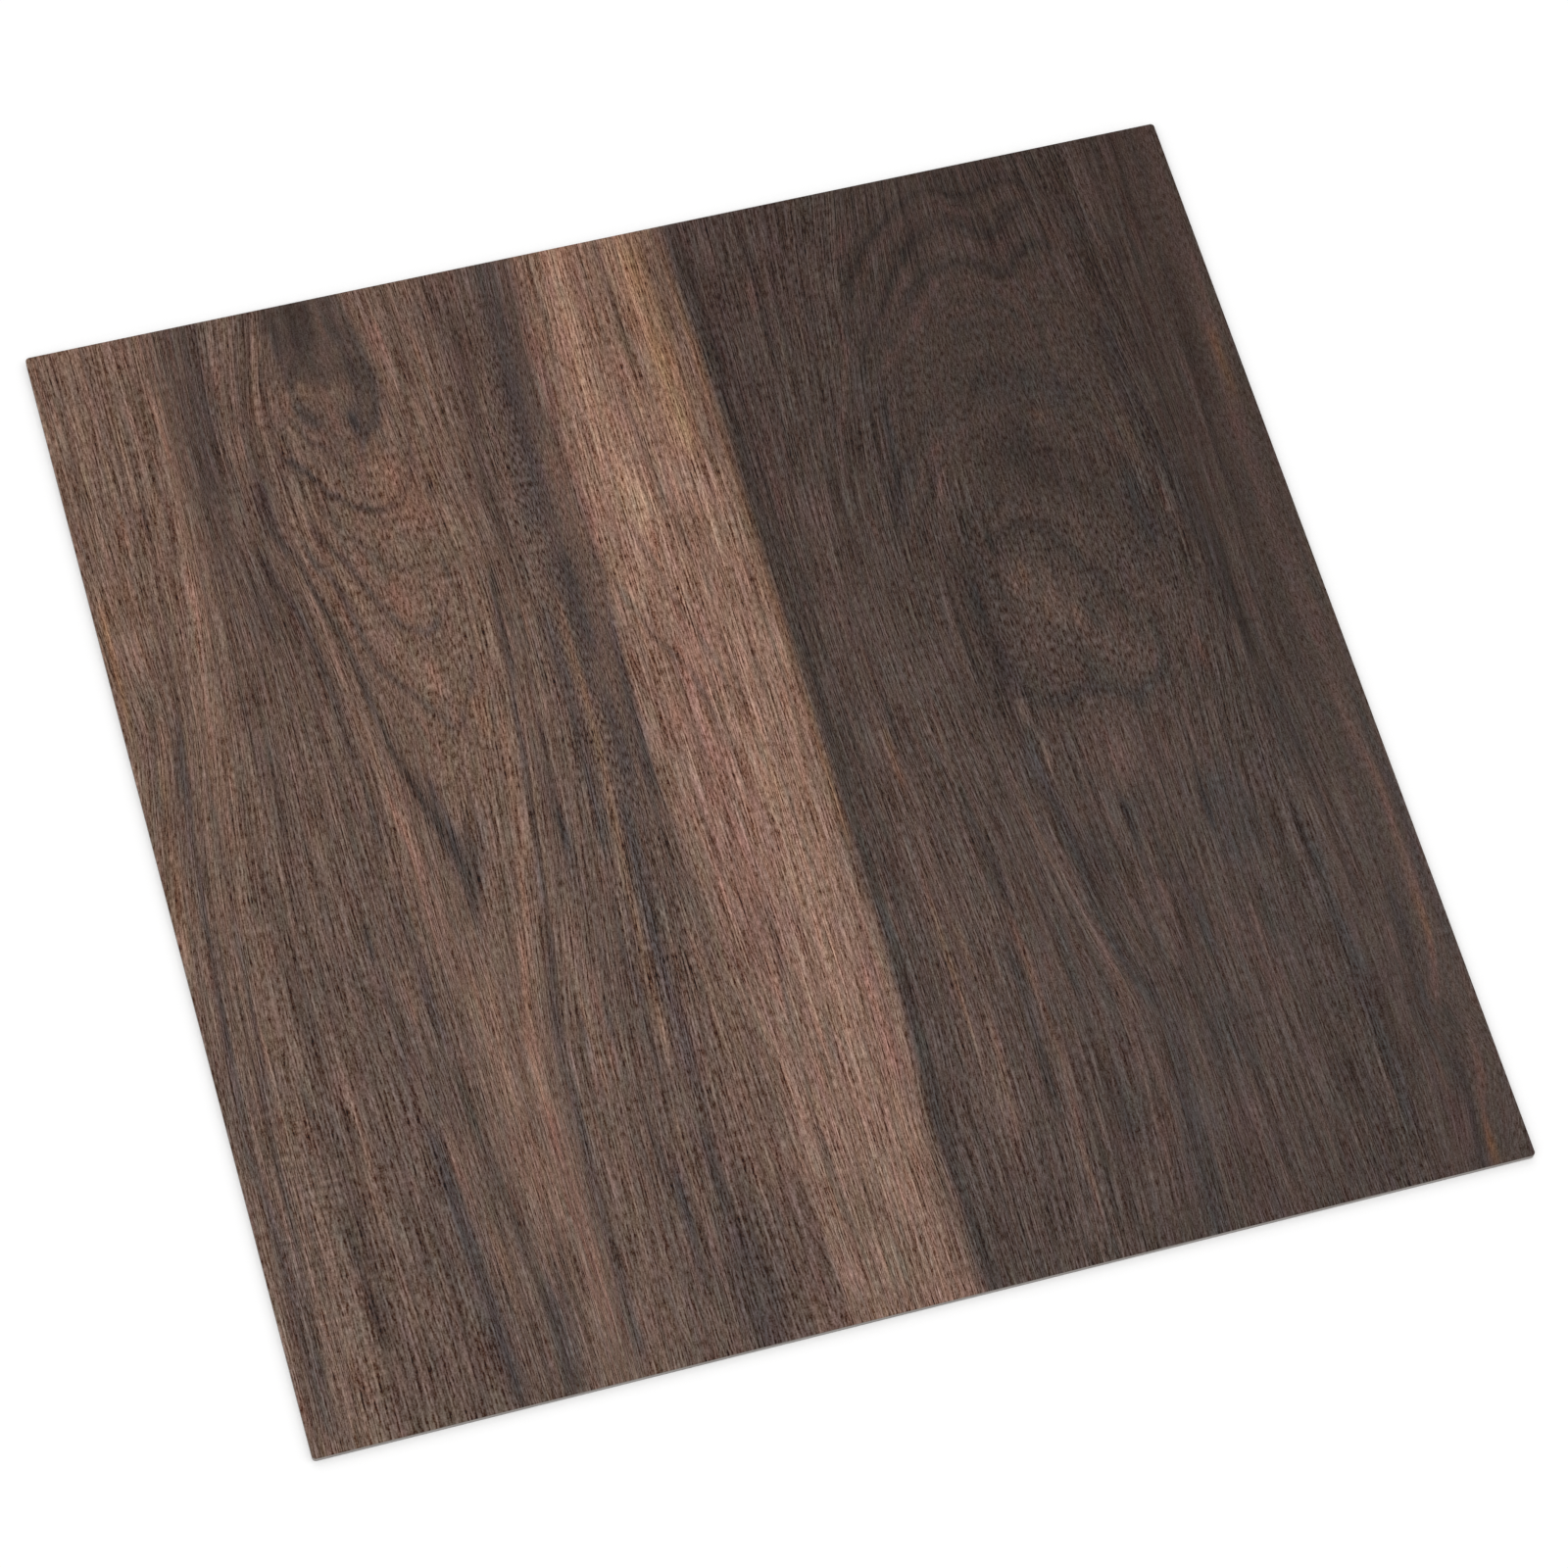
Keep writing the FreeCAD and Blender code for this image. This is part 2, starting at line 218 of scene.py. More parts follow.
# Strokes of the figure: points (x, y), half width or those of its start and end, and what the stroke
# adds to lightness, red and gold.
STROKES = (
    # broad shading under the lines
    (((-62, 158), (-62, 120)), 7.0, -5, 0, 0),
    (((-3, 158), (-3, 112)), 4.0, -7, 0, 0),
    (((9.5, 152), (9.5, 118)), 3.0, -6, 0, 0),
    (((-36, 122), (-36, 92)), 4.0, -5, 1, 0),
    (((-18.5, 112), (-17, 88), (-11, 62)), (3.6, 4.0), 4, 0, 0),
    (((-48, 92), (-46, 58)), 4.0, -5, 0, 0),
    (((-36, 62), (-36, 32)), 4.0, -5, 0, 0),
    (((-121, 62), (-121, 32)), 4.0, -4, 0, 0),
    (((-96, 40), (-96, -34)), 4.0, 5, 0, 0),
    (((4.6, 34), (4.6, -60)), 3.0, -5, 0, 0),
    (((10.6, 34), (10.4, 0)), 2.6, 12, 0, 0),
    (((-98, -84), (-97.5, -122)), 3.6, 7, 0, 0),
    (((-40, -54), (-38, -75), (-38, -112)), 8.0, 6, 1, 0),
    (((-26, -56), (-26, -92)), 4.0, 5, 0, 0),
    (((5, -60), (5, -118)), 3.0, -5, 0, 1),
    (((-8, -114), (-6, -135), (-5, -158)), (6.0, 7.0), -10, -1, 0),
    (((-26, -96), (-26, -158)), 4.0, 6, 2, 0),
    (((130, -118), (130, -158)), 8.0, 5, 0, 0),
    (((-144, 60), (-145, 30), (-146, 0)), 5.0, -5, 0, 0),
    (((42, 158), (42, 116)), 8.0, -4, 2, 0),
    (((24, 158), (24, 60)), 5.0, 0, 2, 0),
    (((-96, 96), (-96, 58)), 4.0, 5, 0, 0),
    (((-77, 62), (-77, 0)), 6.0, 4, 0, 0),
    (((-18, 92), (-18, 40)), 3.4, 5, 0, 0),
    (((4.6, 96), (4.6, 58)), 3.0, 5, 0, 0),
    (((15.6, 158), (15.6, 118)), 2.4, -9, 0, 0),
    (((-18, 158), (-18, 122)), 3.4, -6, 0, 0),
    (((-42, 158), (-42, 124)), 8.0, -5, 1, 1),
    (((-26, 46), (-26, 2)), 3.4, -5, 1, 0),
    (((-120, 34), (-120, 2)), 4.6, -5, 0, 0),
    # light and dark lines that lean in from the left edge
    (((-143, 44), (-144, 36), (-145.2, 29), (-146.8, 20), (-148.2, 11), (-149.4, 0), (-150.4, -10),
      (-151.8, -26)), (1.1, 1.6), 13, 0, 2),
    (((-139.4, 44), (-141, 24), (-142.8, 4), (-144.2, -12), (-145.6, -30), (-147.2, -52)),
     (1.3, 1.4), -13, 0, -2),
    (((-147, -42), (-148.4, -64), (-148.6, -78), (-147, -104), (-147, -152)), (1.5, 1.8), -12, 0, -2),
    (((-143.6, 52), (-144.6, 42), (-145.6, 32)), 0.9, -11, 0, -1),
    (((-148, 44), (-147.4, 30), (-148.8, 16)), 1.3, -8, 0, -1),
    (((-150, 80), (-150.5, 40)), 1.0, 6, 0, 6),
    (((-150.6, 124), (-150.6, 86)), 0.9, -9, 0, 0),
    (((-147.6, 124), (-147.4, 112), (-148, 98)), 0.8, -8, 0, 0),
    (((-142.6, 106), (-142.2, 84), (-142, 60)), 1.1, 6, 1, 0),
    (((-139.4, 104), (-139, 92)), 0.8, 6, 0, 0),
    (((-139.2, 78), (-138.6, 62)), 0.8, 5, 0, 0),
    (((-124.4, 156), (-123.8, 112)), 1.2, 4, 1, 0),
    (((-123.6, 118), (-124, 98), (-125.6, 86), (-127.4, 68), (-129.4, 50), (-131.2, 34), (-132.6, 20),
      (-134, 2)), (1.7, 2.0), 8, 0, 0),
    (((-126.5, 86), (-127, 66)), 1.0, 4, 3, 0),
    (((-131.8, 136), (-132.4, 118), (-133.4, 94)), 0.8, -10, 0, 0),
    (((-134.2, 90), (-135.6, 68), (-137.4, 48), (-139.6, 30), (-141.2, 14)), (0.8, 0.9), -12, 0, 0),
    (((-133.4, 82), (-133.8, 66), (-135, 52)), 0.9, 6, 0, 0),
    (((-139.8, 154), (-139.8, 140)), 0.9, 7, 0, 0),
    (((-134.2, 141), (-134, 130)), 0.9, -7, 0, 0),
    (((-135.8, 134), (-135.4, 118)), 0.9, 6, 0, 0),
    (((-123, 137), (-122.8, 124), (-123.4, 112)), 0.9, 7, 1, 0),
    (((-128.4, 108), (-128.6, 92)), 0.8, 9, 0, 0),
    (((-133.2, 104), (-133.6, 86)), 0.9, -7, 0, 0),
    (((-148.8, 124), (-148.8, 108)), 0.8, -7, 0, 0),
    (((-143, 84), (-143, 60)), 0.9, 5, 0, 0),
    (((-149.6, 64), (-149.6, 38)), 1.0, -8, 0, 0),
    (((-135.2, 24), (-136.2, 8), (-137.2, -8), (-138.2, -24), (-139.4, -42), (-140.8, -60)),
     (0.8, 0.9), -13, 0, -1),
    (((-127.8, 118), (-127.6, 98), (-128.4, 80)), 0.8, -8, 0, 0),
    (((-121.8, 46), (-122.6, 22)), 0.9, -6, 0, 0),
    (((-127.4, 0), (-127.5, -40), (-128, -100), (-128, -152)), (3.6, 3.8), -10, 0, 1),
    (((-121, -45), (-121, -70), (-121, -128)), 1.8, 8, 1, 1),
    (((-132.6, -56), (-131.6, -80), (-130.4, -104), (-129.2, -130)), (0.8, 0.9), -9, 0, 0),
    (((-141.2, -52), (-142.4, -74), (-143.2, -94), (-144.4, -116), (-145.6, -138)),
     (1.0, 1.1), -13, 0, -1),
    (((-138.4, -80), (-139, -108)), 0.8, -9, 0, 0),
    (((-123, -85), (-122.6, -99)), 0.8, 9, 0, 1),
    (((-123.6, -59), (-123.2, -68)), 1.0, 6, 1, 0),
    (((-112.6, -86), (-112.2, -97)), 0.8, 7, 0, 0),
    (((-136.4, -106), (-136.4, -118)), 1.6, -6, 0, 0),
    # dark band left of the knot
    (((-110.6, 158), (-111, 142), (-112.6, 126), (-113.8, 110), (-113.2, 96)), (3.4, 2.8), -11, 0, -1),
    (((-117, 158), (-117.2, 128), (-118, 108)), (3.2, 3.0), -6, 0, 0),
    (((-118, 112), (-117, 94), (-114.6, 76)), 4.6, -6, 0, 0),
    (((-111.2, 134), (-111, 112)), 0.9, -5, 0, -1),
    (((-110.6, 77), (-110, 60)), 3.2, -6, 0, -1),
    (((-105, 150), (-106.5, 128), (-106, 104)), (1.0, 1.2), 5, 1, 0),
    (((-104.5, 128), (-104.2, 114), (-103.4, 99)), (0.8, 1.0), -10, 0, 0),
    (((-105.6, 122), (-105.7, 110)), 0.8, 10, 1, 0),
    (((-103.2, 102), (-103.4, 95), (-103, 88)), (2.0, 1.8), -13, 1, -2),
    (((-116, 45), (-113, 0), (-112, -40)), 3.0, 3, 0, 0),
    # lines that run from the knot's left side down to the cathedral's tip
    (((-108.4, 85), (-106, 76), (-104.4, 70), (-102.4, 64), (-101, 56), (-100.2, 46), (-99.6, 34),
      (-99, 22), (-98.4, 8), (-98.6, -10)), (1.1, 0.9), -13, 0, -1),
    (((-104, 90), (-102.2, 85), (-99.4, 76), (-97.6, 69), (-95.8, 62)), (1.2, 1.0), -16, 0, -1),
    (((-97.4, 71), (-95.4, 62), (-94.2, 57), (-93, 50.6), (-92.2, 45), (-91.4, 39), (-90.8, 33),
      (-90.2, 27), (-89.4, 20)), (0.9, 1.2), -15, 0, -1),
    (((-90, 26), (-88.4, 17.4), (-86.8, 10.6), (-85, 4), (-83.4, -3), (-82.2, -12)),
     (1.2, 1.3), -15, 0, -1),
    (((-83.4, 14), (-82, 6), (-80.9, -2), (-80.4, -10)), (1.2, 1.3), -12, 0, -2),
    (((-81.6, -4), (-81, -12), (-80.6, -20), (-80.5, -31)), (1.7, 1.5), -17, 0, -1),
    (((-71.4, -1), (-74, -8), (-76.6, -15), (-79, -23)), (2.3, 1.7), -9, 0, -2),
    (((-86, 14), (-83, 4), (-79.6, -6), (-78.2, -14), (-79.4, -26)), (2.4, 3.0), -9, 0, -1),
    (((-99.4, 91), (-97.2, 84.4), (-95.4, 79), (-93.8, 74.4), (-92, 70), (-90.4, 65), (-89.4, 58),
      (-88.6, 51), (-87, 45.4), (-84.6, 41.4)), (0.8, 1.0), -15, 0, -1),
    (((-87, 44.4), (-82.4, 37.6), (-79, 33), (-75.8, 28.4), (-73, 23.4)), (1.2, 1.3), -13, 0, -1),
    (((-74.6, 26.6), (-72.8, 24), (-71, 24.4), (-69.4, 27.6), (-67, 32.4), (-64.8, 38), (-63.4, 44)),
     (0.9, 0.7), -9, 0, -1),
    (((-94.4, 90), (-92, 84), (-90, 79.2), (-87.4, 74.4), (-85, 70), (-83.4, 65.4), (-81.6, 61),
      (-79.6, 57)), (0.8, 1.0), -16, 0, -1),
    (((-80.6, 59), (-78.6, 55.6), (-76, 53), (-73, 51.6), (-70.2, 52.4), (-67.8, 55.6)),
     (1.2, 1.0), -14, 0, -2),
    (((-68.4, 55), (-65.6, 59), (-63.8, 64), (-63.2, 71)), (0.8, 0.9), -9, 0, 0),
    (((-90.8, 93), (-87, 86.4), (-83.6, 80.4), (-79.4, 73), (-76.3, 69.4), (-72.8, 69.6), (-69.4, 73)),
     (0.9, 0.8), -10, 0, 0),
    (((-105.6, 76), (-102.4, 66), (-100, 55), (-98.8, 44)), 0.7, 5, 1, 0),
    (((-101.8, 80), (-99.6, 72), (-98, 64), (-96.8, 54), (-96.4, 43), (-95.6, 34), (-94.6, 26)),
     (0.9, 1.0), 10, 1, 0),
    (((-94.4, 31), (-93.6, 20), (-93.2, 11), (-92.2, 2), (-91.4, -6), (-90.6, -16)),
     (0.9, 1.0), 14, 1, 0),
    (((-97.6, 80), (-94.6, 71.6), (-92.2, 62.6), (-91.2, 54), (-90.4, 45)), 0.8, 8, 1, 0),
    (((-95.6, 88), (-92.8, 79), (-89.6, 71), (-87, 64), (-85.8, 57), (-85, 50)), (0.9, 1.0), 9, 1, 0),
    (((-86, 80), (-83, 74), (-81, 68)), 0.9, 5, 1, 0),
    (((-86, 40), (-83, 33), (-80.4, 26), (-78, 17)), 0.9, 5, 2, 0),
    (((-74.6, 81), (-73.6, 74)), 1.0, 9, 1, 0),
    (((-79.2, 85), (-77.6, 80)), 1.2, 7, 1, 0),
    (((-74.6, 42), (-73, 32)), 1.6, 5, 1, 0),
    (((-97, 114), (-95, 108.6), (-93, 106), (-90.8, 102), (-88.6, 98.4), (-86.2, 94.8), (-83.8, 92),
      (-81, 90.6), (-78, 89.4), (-75.6, 87.4), (-73, 86.7)), (0.8, 1.0), -20, 0, -1),
    (((-75, 87.2), (-72.4, 86.8), (-70.4, 88.4), (-68.4, 91), (-66, 94.6), (-64.2, 99), (-63.2, 106)),
     (0.9, 0.7), -11, 1, 0),
    (((-97.4, 119), (-96, 113), (-93.6, 107.6), (-91, 103.4)), 0.7, 7, 1, 0),
    (((-92.6, 122), (-90.4, 116.6), (-88.4, 112.4), (-86.6, 109.6), (-84.4, 107), (-82.4, 105)),
     (0.8, 0.9), -14, 1, 0),
    (((-94.6, 118), (-92.2, 112.4), (-89.4, 107.4), (-86, 103), (-82, 100)), 0.6, -6, 0, 0),
    (((-71, 99), (-68, 88), (-66, 80)), (4.0, 5.0), 5, 3, 2),
    (((-78, 66), (-75, 58)), (3.0, 3.4), 6, 3, 1),
    (((-85, 54), (-82, 47)), (1.6, 2.0), 6, 3, 0),
    (((-76, 44), (-75, 34)), 2.4, 4, 1, 0),
    (((-67, 32), (-64.5, 18)), (2.0, 1.6), 6, 2, 3),
    (((-63.6, 112), (-63.8, 101)), 0.7, -9, 0, 0),
    (((-61.4, 93), (-61.8, 88.6)), 0.9, -12, 0, 0),
    (((-63.8, 70), (-63.4, 64.6)), 0.8, -10, 0, 0),
    # knot at the far edge
    (((-81, 164), (-81, 148), (-80.4, 136)), (9.6, 7.6), -16, 0, 0),
    (((-72, 144), (-70.6, 130), (-70.2, 120), (-72.4, 109)), (3.0, 2.8), -10, -1, 0),
    (((-88.6, 162), (-88.4, 146), (-87, 136)), (3.4, 2.6), -9, 0, 0),
    (((-81.4, 164), (-81.4, 150), (-81, 134)), (7.6, 7.0), -10, 0, 0),
    (((-92, 131.4), (-86, 130.4), (-78, 129), (-69, 128)), 4.8, -15, 0, 0),
    (((-85, 124), (-79, 115), (-74, 105)), (6.6, 5.6), -9, 0, 0),
    (((-96, 122), (-92.6, 108), (-87, 97)), 3.6, -6, 0, 0),
    (((-84.4, 160), (-84.2, 147), (-84.6, 140), (-83.4, 132)), (2.4, 1.8), -13, 0, 0),
    (((-80.4, 160), (-80.4, 148), (-80, 140)), (1.8, 1.6), -9, 0, 0),
    (((-74.4, 160), (-73.6, 147), (-72.8, 137)), (2.4, 1.8), -12, 0, -1),
    (((-89.4, 152), (-89, 142), (-89.4, 135)), (1.4, 1.2), -9, 0, -1),
    (((-77.6, 156), (-77, 146), (-76.4, 139)), 0.7, 8, 0, 0),
    (((-87.4, 154), (-87.2, 145)), 0.6, 6, 0, 0),
    (((-86, 140), (-84.4, 133)), 0.6, 6, 0, 1),
    (((-86.4, 134.6), (-87.6, 131), (-88.8, 127)), (1.6, 1.2), -14, 0, 0),
    (((-89.4, 123.4), (-87, 119), (-84.2, 114)), (1.8, 1.3), -21, 0, 0),
    (((-89.6, 149), (-88.4, 136)), (3.0, 2.6), -5, 0, 0),
    (((-86.4, 117), (-82.4, 105), (-78.6, 96)), 3.8, -5, 0, 0),
    (((-70.8, 150), (-69.6, 140), (-68.8, 130), (-68.6, 120), (-69.4, 112)), (1.2, 1.3), -15, 0, -2),
    (((-69, 118), (-70.4, 112), (-73, 108.6), (-76, 105.6), (-79, 103)), (1.3, 1.1), -11, 0, -2),
    (((-73, 135), (-72.4, 125), (-72.8, 116)), 1.6, -9, 0, -2),
    (((-75.6, 115.6), (-75.4, 113.4), (-75.2, 111.4)), 1.0, -27, -2, -2),
    (((-75, 118), (-75, 108.6)), 2.2, -7, 0, -1),
    (((-81.4, 124), (-80.4, 117), (-79.4, 111)), (2.4, 2.0), 3, 1, 1),
    (((-79, 127), (-78.6, 123)), 0.8, 6, 0, 0),
    (((-86.8, 128), (-86, 124)), 1.3, 9, 1, 1),
    (((-90.8, 126), (-91.4, 120)), 1.0, 8, 1, 0),
    (((-93, 150), (-96, 138), (-99, 126), (-99.5, 114)), (0.9, 1.0), 9, 0, 0),
    (((-93, 143), (-95.2, 137), (-97, 131)), (0.6, 0.7), 10, 1, 0),
    (((-90.6, 150), (-92.6, 141), (-95.4, 133), (-96.6, 124)), (0.6, 0.7), -8, 0, 0),
    (((-96.5, 152), (-101, 136), (-102, 124)), (0.8, 0.9), -7, 0, 0),
    (((-95, 130), (-94.5, 117)), (1.0, 1.2), 4, 1, 0),
    (((-99.6, 130), (-99, 118), (-97.4, 109), (-95.6, 100)), 0.9, 7, 1, 0),
    (((-106.4, 118), (-106.4, 102)), 0.9, 6, 0, 0),
    (((-76, 106), (-72, 97)), 3.4, 8, 1, 0),
    (((-62.8, 146), (-62.6, 134), (-62.8, 120)), (1.4, 1.2), 12, 3, 0),
    (((-54.6, 132), (-54.6, 115)), 1.0, 7, 1, 0),
    (((-66.4, 150), (-66, 138), (-65.4, 128)), 0.8, 6, 2, 0),
    # right limb of the cathedral and the pale strip beside it
    (((-52.6, 66), (-53.4, 56), (-54, 48), (-54.6, 40), (-55.4, 32)), (1.0, 1.1), -24, 0, -1),
    (((-55, 36), (-56.2, 27), (-57.6, 18), (-58.6, 10), (-59.6, 2), (-60.4, -6), (-61.4, -14), (-63, -24),
      (-64.8, -36)), (0.9, 1.2), -17, 0, -1),
    (((-64, -32), (-66, -46), (-68, -56), (-69.4, -66), (-70, -80), (-70.5, -96), (-71, -116),
      (-72, -152)), (1.5, 1.7), -15, 0, -2),
    (((-57.6, 51), (-58.2, 39)), 0.9, 8, 0, 0),
    (((-60.4, 28), (-61.8, 16), (-62.6, 8), (-63.2, 0), (-64.2, -8), (-65.8, -16), (-68, -26)),
     (0.9, 1.3), 15, 1, 1),
    (((-66.6, -20), (-69, -30), (-71, -38), (-73.4, -48), (-74.8, -58), (-76, -70), (-77, -84)),
     (1.5, 1.9), 11, 2, 2),
    (((-76.8, -76), (-76.8, -104), (-76.4, -140)), (2.0, 1.8), 9, 3, 0),
    (((-84, -42), (-84, -80), (-82, -112)), (5.0, 4.0), 9, 1, 1),
    (((-81.4, -52), (-81.4, -88)), 0.8, -10, 0, 0),
    (((-61.6, -38), (-61.4, -60), (-61.2, -80), (-62.4, -98), (-64, -114), (-64, -130)),
     (1.0, 1.1), 10, 0, 1),
    (((-58, -38), (-58, -64), (-58.4, -80)), 1.0, 9, 3, 1),
    (((-63, -57), (-63.2, -70)), 0.9, -13, -1, 0),
    (((-56.6, -56), (-56.5, -68)), 0.8, -12, 0, -1),
    (((-91, 12), (-91, -18), (-89.5, -42)), (3.0, 2.8), 7, 2, 0),
    # streaks of the lower left
    (((-98.6, -14), (-98.4, -36)), 1.1, -9, 0, -1),
    (((-97.3, -38), (-96.6, -58)), (1.5, 1.4), -9, 0, -2),
    (((-96, -60), (-94.8, -80), (-93.2, -98), (-91, -112), (-90, -130), (-89.5, -155)),
     (1.4, 1.8), -11, -1, 1),
    (((-87.6, -122), (-87.8, -155)), (2.6, 3.2), -11, 0, -3),
    (((-101.4, -36), (-101.2, -50)), 1.0, 17, 3, 2),
    (((-101.8, -77), (-101, -97)), (1.5, 1.4), 10, 3, 1),
    (((-96.5, -108), (-96.5, -132)), 1.6, 6, 0, 2),
    (((-84.2, -88), (-84, -120)), 1.0, 5, 1, 0),
    (((-107.4, -25), (-107.5, -32)), (0.9, 0.8), -13, 0, -4),
    (((-107, -38), (-107.5, -68)), 1.6, -6, 0, -1),
    (((-105, -76), (-104.6, -95), (-103.4, -113), (-102.5, -132), (-102.5, -155)),
     (2.0, 2.5), -12, 0, -3),
    (((-140, -34), (-140.4, -46)), 0.8, -6, 0, 0),
    # grey speckled band
    (((-31.5, 158), (-33, 128), (-34, 102)), (3.4, 3.2), -11, 0, -3),
    (((-34.4, 106), (-35.4, 88), (-36, 70)), (2.9, 2.7), -9, 0, -3),
    (((-35, 68), (-34.6, 50), (-34, 34)), (2.6, 2.3), -9, 0, -3),
    (((-34.4, 26), (-34, 12), (-34.6, -4)), 1.8, -9, 0, -3),
    (((-31.7, 142), (-31.6, 130)), 0.9, -9, 0, 0),
    (((-35.8, 119), (-35.6, 108)), 0.9, -9, 0, 0),
    (((-33.2, 63), (-33.2, 52)), 0.9, -8, 0, 0),
    (((-36.8, 35), (-36.6, 25)), 0.8, -9, 0, 0),
    (((-46, 150), (-46, 112), (-48, 84)), (2.6, 2.2), -8, 1, 0),
    (((-39.5, 96), (-39, 72)), 1.8, -6, 0, -1),
    (((-41, 118), (-40.5, 104)), 1.2, -4, -1, 2),
    (((-43, 54), (-42.5, 30), (-43.6, 8), (-45.6, -20)), 1.4, -10, 0, -3),
    (((-49, 51), (-49, 41)), 0.7, -10, 0, 0),
    (((-51.5, 58), (-50.6, 38), (-50.2, 26)), 0.9, -9, -1, 0),
    (((-47, 58), (-49, 36), (-51.5, 12)), 0.8, 8, 0, 0),
    (((-38, 54), (-38.6, 34), (-39.2, 18), (-40, 2), (-41.2, -12), (-42.6, -28), (-43.6, -44),
      (-44.2, -60), (-44.8, -76)), (0.9, 1.2), 14, 0, 3),
    (((-47.4, -84), (-47.6, -104), (-47, -126)), (1.0, 1.1), 8, 0, 1),
    (((-36.6, -2), (-38.4, -22), (-39.6, -44), (-40, -66), (-40.8, -88)), (1.6, 1.5), -11, 0, -3),
    (((-41.6, -92), (-42.4, -118)), 1.5, -10, -1, -2),
    (((-41, -118), (-40.4, -136), (-41, -158)), (3.6, 5.0), -10, 0, -2),
    (((-43.6, -124), (-43.8, -150)), 1.0, -6, 0, 0),
    (((-47.6, -42), (-47.6, -60)), 1.0, -10, 0, -2),
    (((-48, -65), (-48, -76)), 0.9, -9, 0, -1),
    (((-54.4, 14), (-54, -30)), 2.4, -6, 0, -2),
    (((-53.8, -4), (-53.6, -15)), 0.9, -15, 0, -2),
    (((-52.2, 23), (-52, 13)), 0.8, -10, 0, -1),
    (((-54, -92), (-54, -103)), 0.9, -9, 0, -1),
    (((-51.2, -102), (-51.2, -119)), 0.9, -8, 0, -1),
    (((-52, -100), (-52.5, -134)), (1.4, 1.6), -5, 0, -3),
    (((-56, -118), (-58, -150)), 0.9, -7, 0, 0),
    (((-30, 100), (-29, 84), (-29.5, 68)), 1.7, 7, 1, 0),
    (((-30.6, 50), (-31, 34), (-31.4, 18)), 1.0, 6, 1, 0),
    (((-31, -40), (-30, -80), (-29, -118)), 5.0, 8, 0, 1),
    (((-26.6, 114), (-26.4, 84), (-26.2, 60)), (0.8, 0.9), -12, 1, 0),
    (((-26, 68), (-26.6, 46), (-27.6, 30), (-28.4, 12), (-28.8, -8)), (1.0, 1.2), -17, 0, -2),
    # light band
    (((-24.8, 152), (-25, 100), (-24.8, 60)), (1.5, 1.4), -4, 4, 0),
    (((-20.4, 156), (-20.2, 126), (-19.8, 98)), 0.8, -8, 0, 0),
    (((-13.6, 156), (-13.8, 112), (-12.5, 86), (-11.5, 60)), (3.2, 4.2), 9, 0, 1),
    (((-1.6, 156), (-1.8, 125), (-0.6, 100)), (2.4, 1.9), -15, 0, 1),
    (((-7, 152), (-6, 105), (-5, 88)), (2.0, 1.8), -4, 1, 0),
    (((-8.8, 122), (-7.2, 106), (-5.8, 93), (-4.8, 80), (-3.4, 66), (-1.4, 54), (0.6, 40)),
     0.7, -14, 1, 0),
    (((6, 154), (6.2, 120), (5.4, 84)), (4.0, 3.4), 2, -2, 5),
    (((11, 156), (11.2, 125), (11, 100), (11, 76)), (3.2, 2.4), -15, 1, 1),
    (((11, 78), (10.7, 46), (10.4, 20), (9.6, -6)), 0.7, -11, 0, 0),
    (((-23.6, 58), (-22, 50), (-20.4, 44.6), (-18.4, 38.4), (-16, 33), (-13, 27), (-10.6, 20.4), (-9, 12),
      (-8.6, 2)), 0.8, -20, 0, 0),
    (((-17.4, 76), (-15.4, 68), (-13, 60), (-11, 52), (-9.6, 45.6), (-7.4, 37), (-5.6, 29), (-3.6, 21),
      (-1.4, 6)), 0.8, -18, 1, 0),
    (((0.5, 76), (4, 54), (5.5, 32), (5, 8)), 0.8, -7, 0, 0),
    (((5.6, 50), (5, 40)), 0.7, -9, 0, 0),
    (((-8, 40), (-13, 10), (-15, -60)), (6.0, 7.0), -4, 3, 0),
    (((-2, 18), (-0.6, -20), (-1.5, -60), (-2, -92)), (2.4, 2.8), 6, 0, 1),
    (((7.4, 16), (6.4, -16), (5.4, -48)), 1.6, 7, 0, 1),
    (((-6.6, 6), (-6.2, -26), (-7, -52)), 1.2, -5, 2, 0),
    (((-10.5, -40), (-12, -58), (-13.4, -70), (-14.6, -90), (-15.3, -108), (-14.3, -126), (-12.5, -148)),
     (0.7, 0.9), -16, 0, 0),
    (((-5.6, -70), (-5.5, -86)), 0.7, -17, 0, 0),
    (((-18.2, -80), (-18, -100)), 1.0, 7, 1, 0),
    (((-11, -92), (-11, -112)), 0.8, 5, 1, 0),
    (((4.6, -110), (6.4, -94), (8.4, -78)), 0.7, 9, 0, 0),
    (((9.6, -106), (11, -90), (12.8, -68)), 0.7, 9, 0, 0),
    (((7.6, -104), (9, -90), (10.4, -76)), 0.6, -9, 0, 0),
    (((2.6, -108), (4.4, -90)), 0.6, -7, 0, 0),
    (((13.6, -56), (13.2, -82)), 0.7, 9, 0, 0),
    (((-7.2, -114), (-5, -142)), 0.7, -8, 0, 0),
    (((0.5, -96), (0, -140)), 1.0, -4, 1, 0),
    (((8, -118), (8.5, -135), (9, -156)), (4.0, 5.0), -10, 1, 0),
    (((-12, 90), (-9.5, 50), (-8.5, 0), (-9.5, -40)), 4.0, 4, 0, 0),
    (((-24, -64), (-23.6, -100), (-22, -152)), 2.8, -6, 0, 0),
    (((14.6, 152), (15, 100), (15, 60), (14.4, 20), (13.6, -30)), (1.2, 1.1), -1, 1, 5),
    (((8, -60), (8, -100)), 3.0, -2, 4, 0),
    # darkest edge beside the light band
    (((19.6, 148), (19.4, 135), (19.2, 115), (18.8, 95), (18.6, 75), (18.4, 46)),
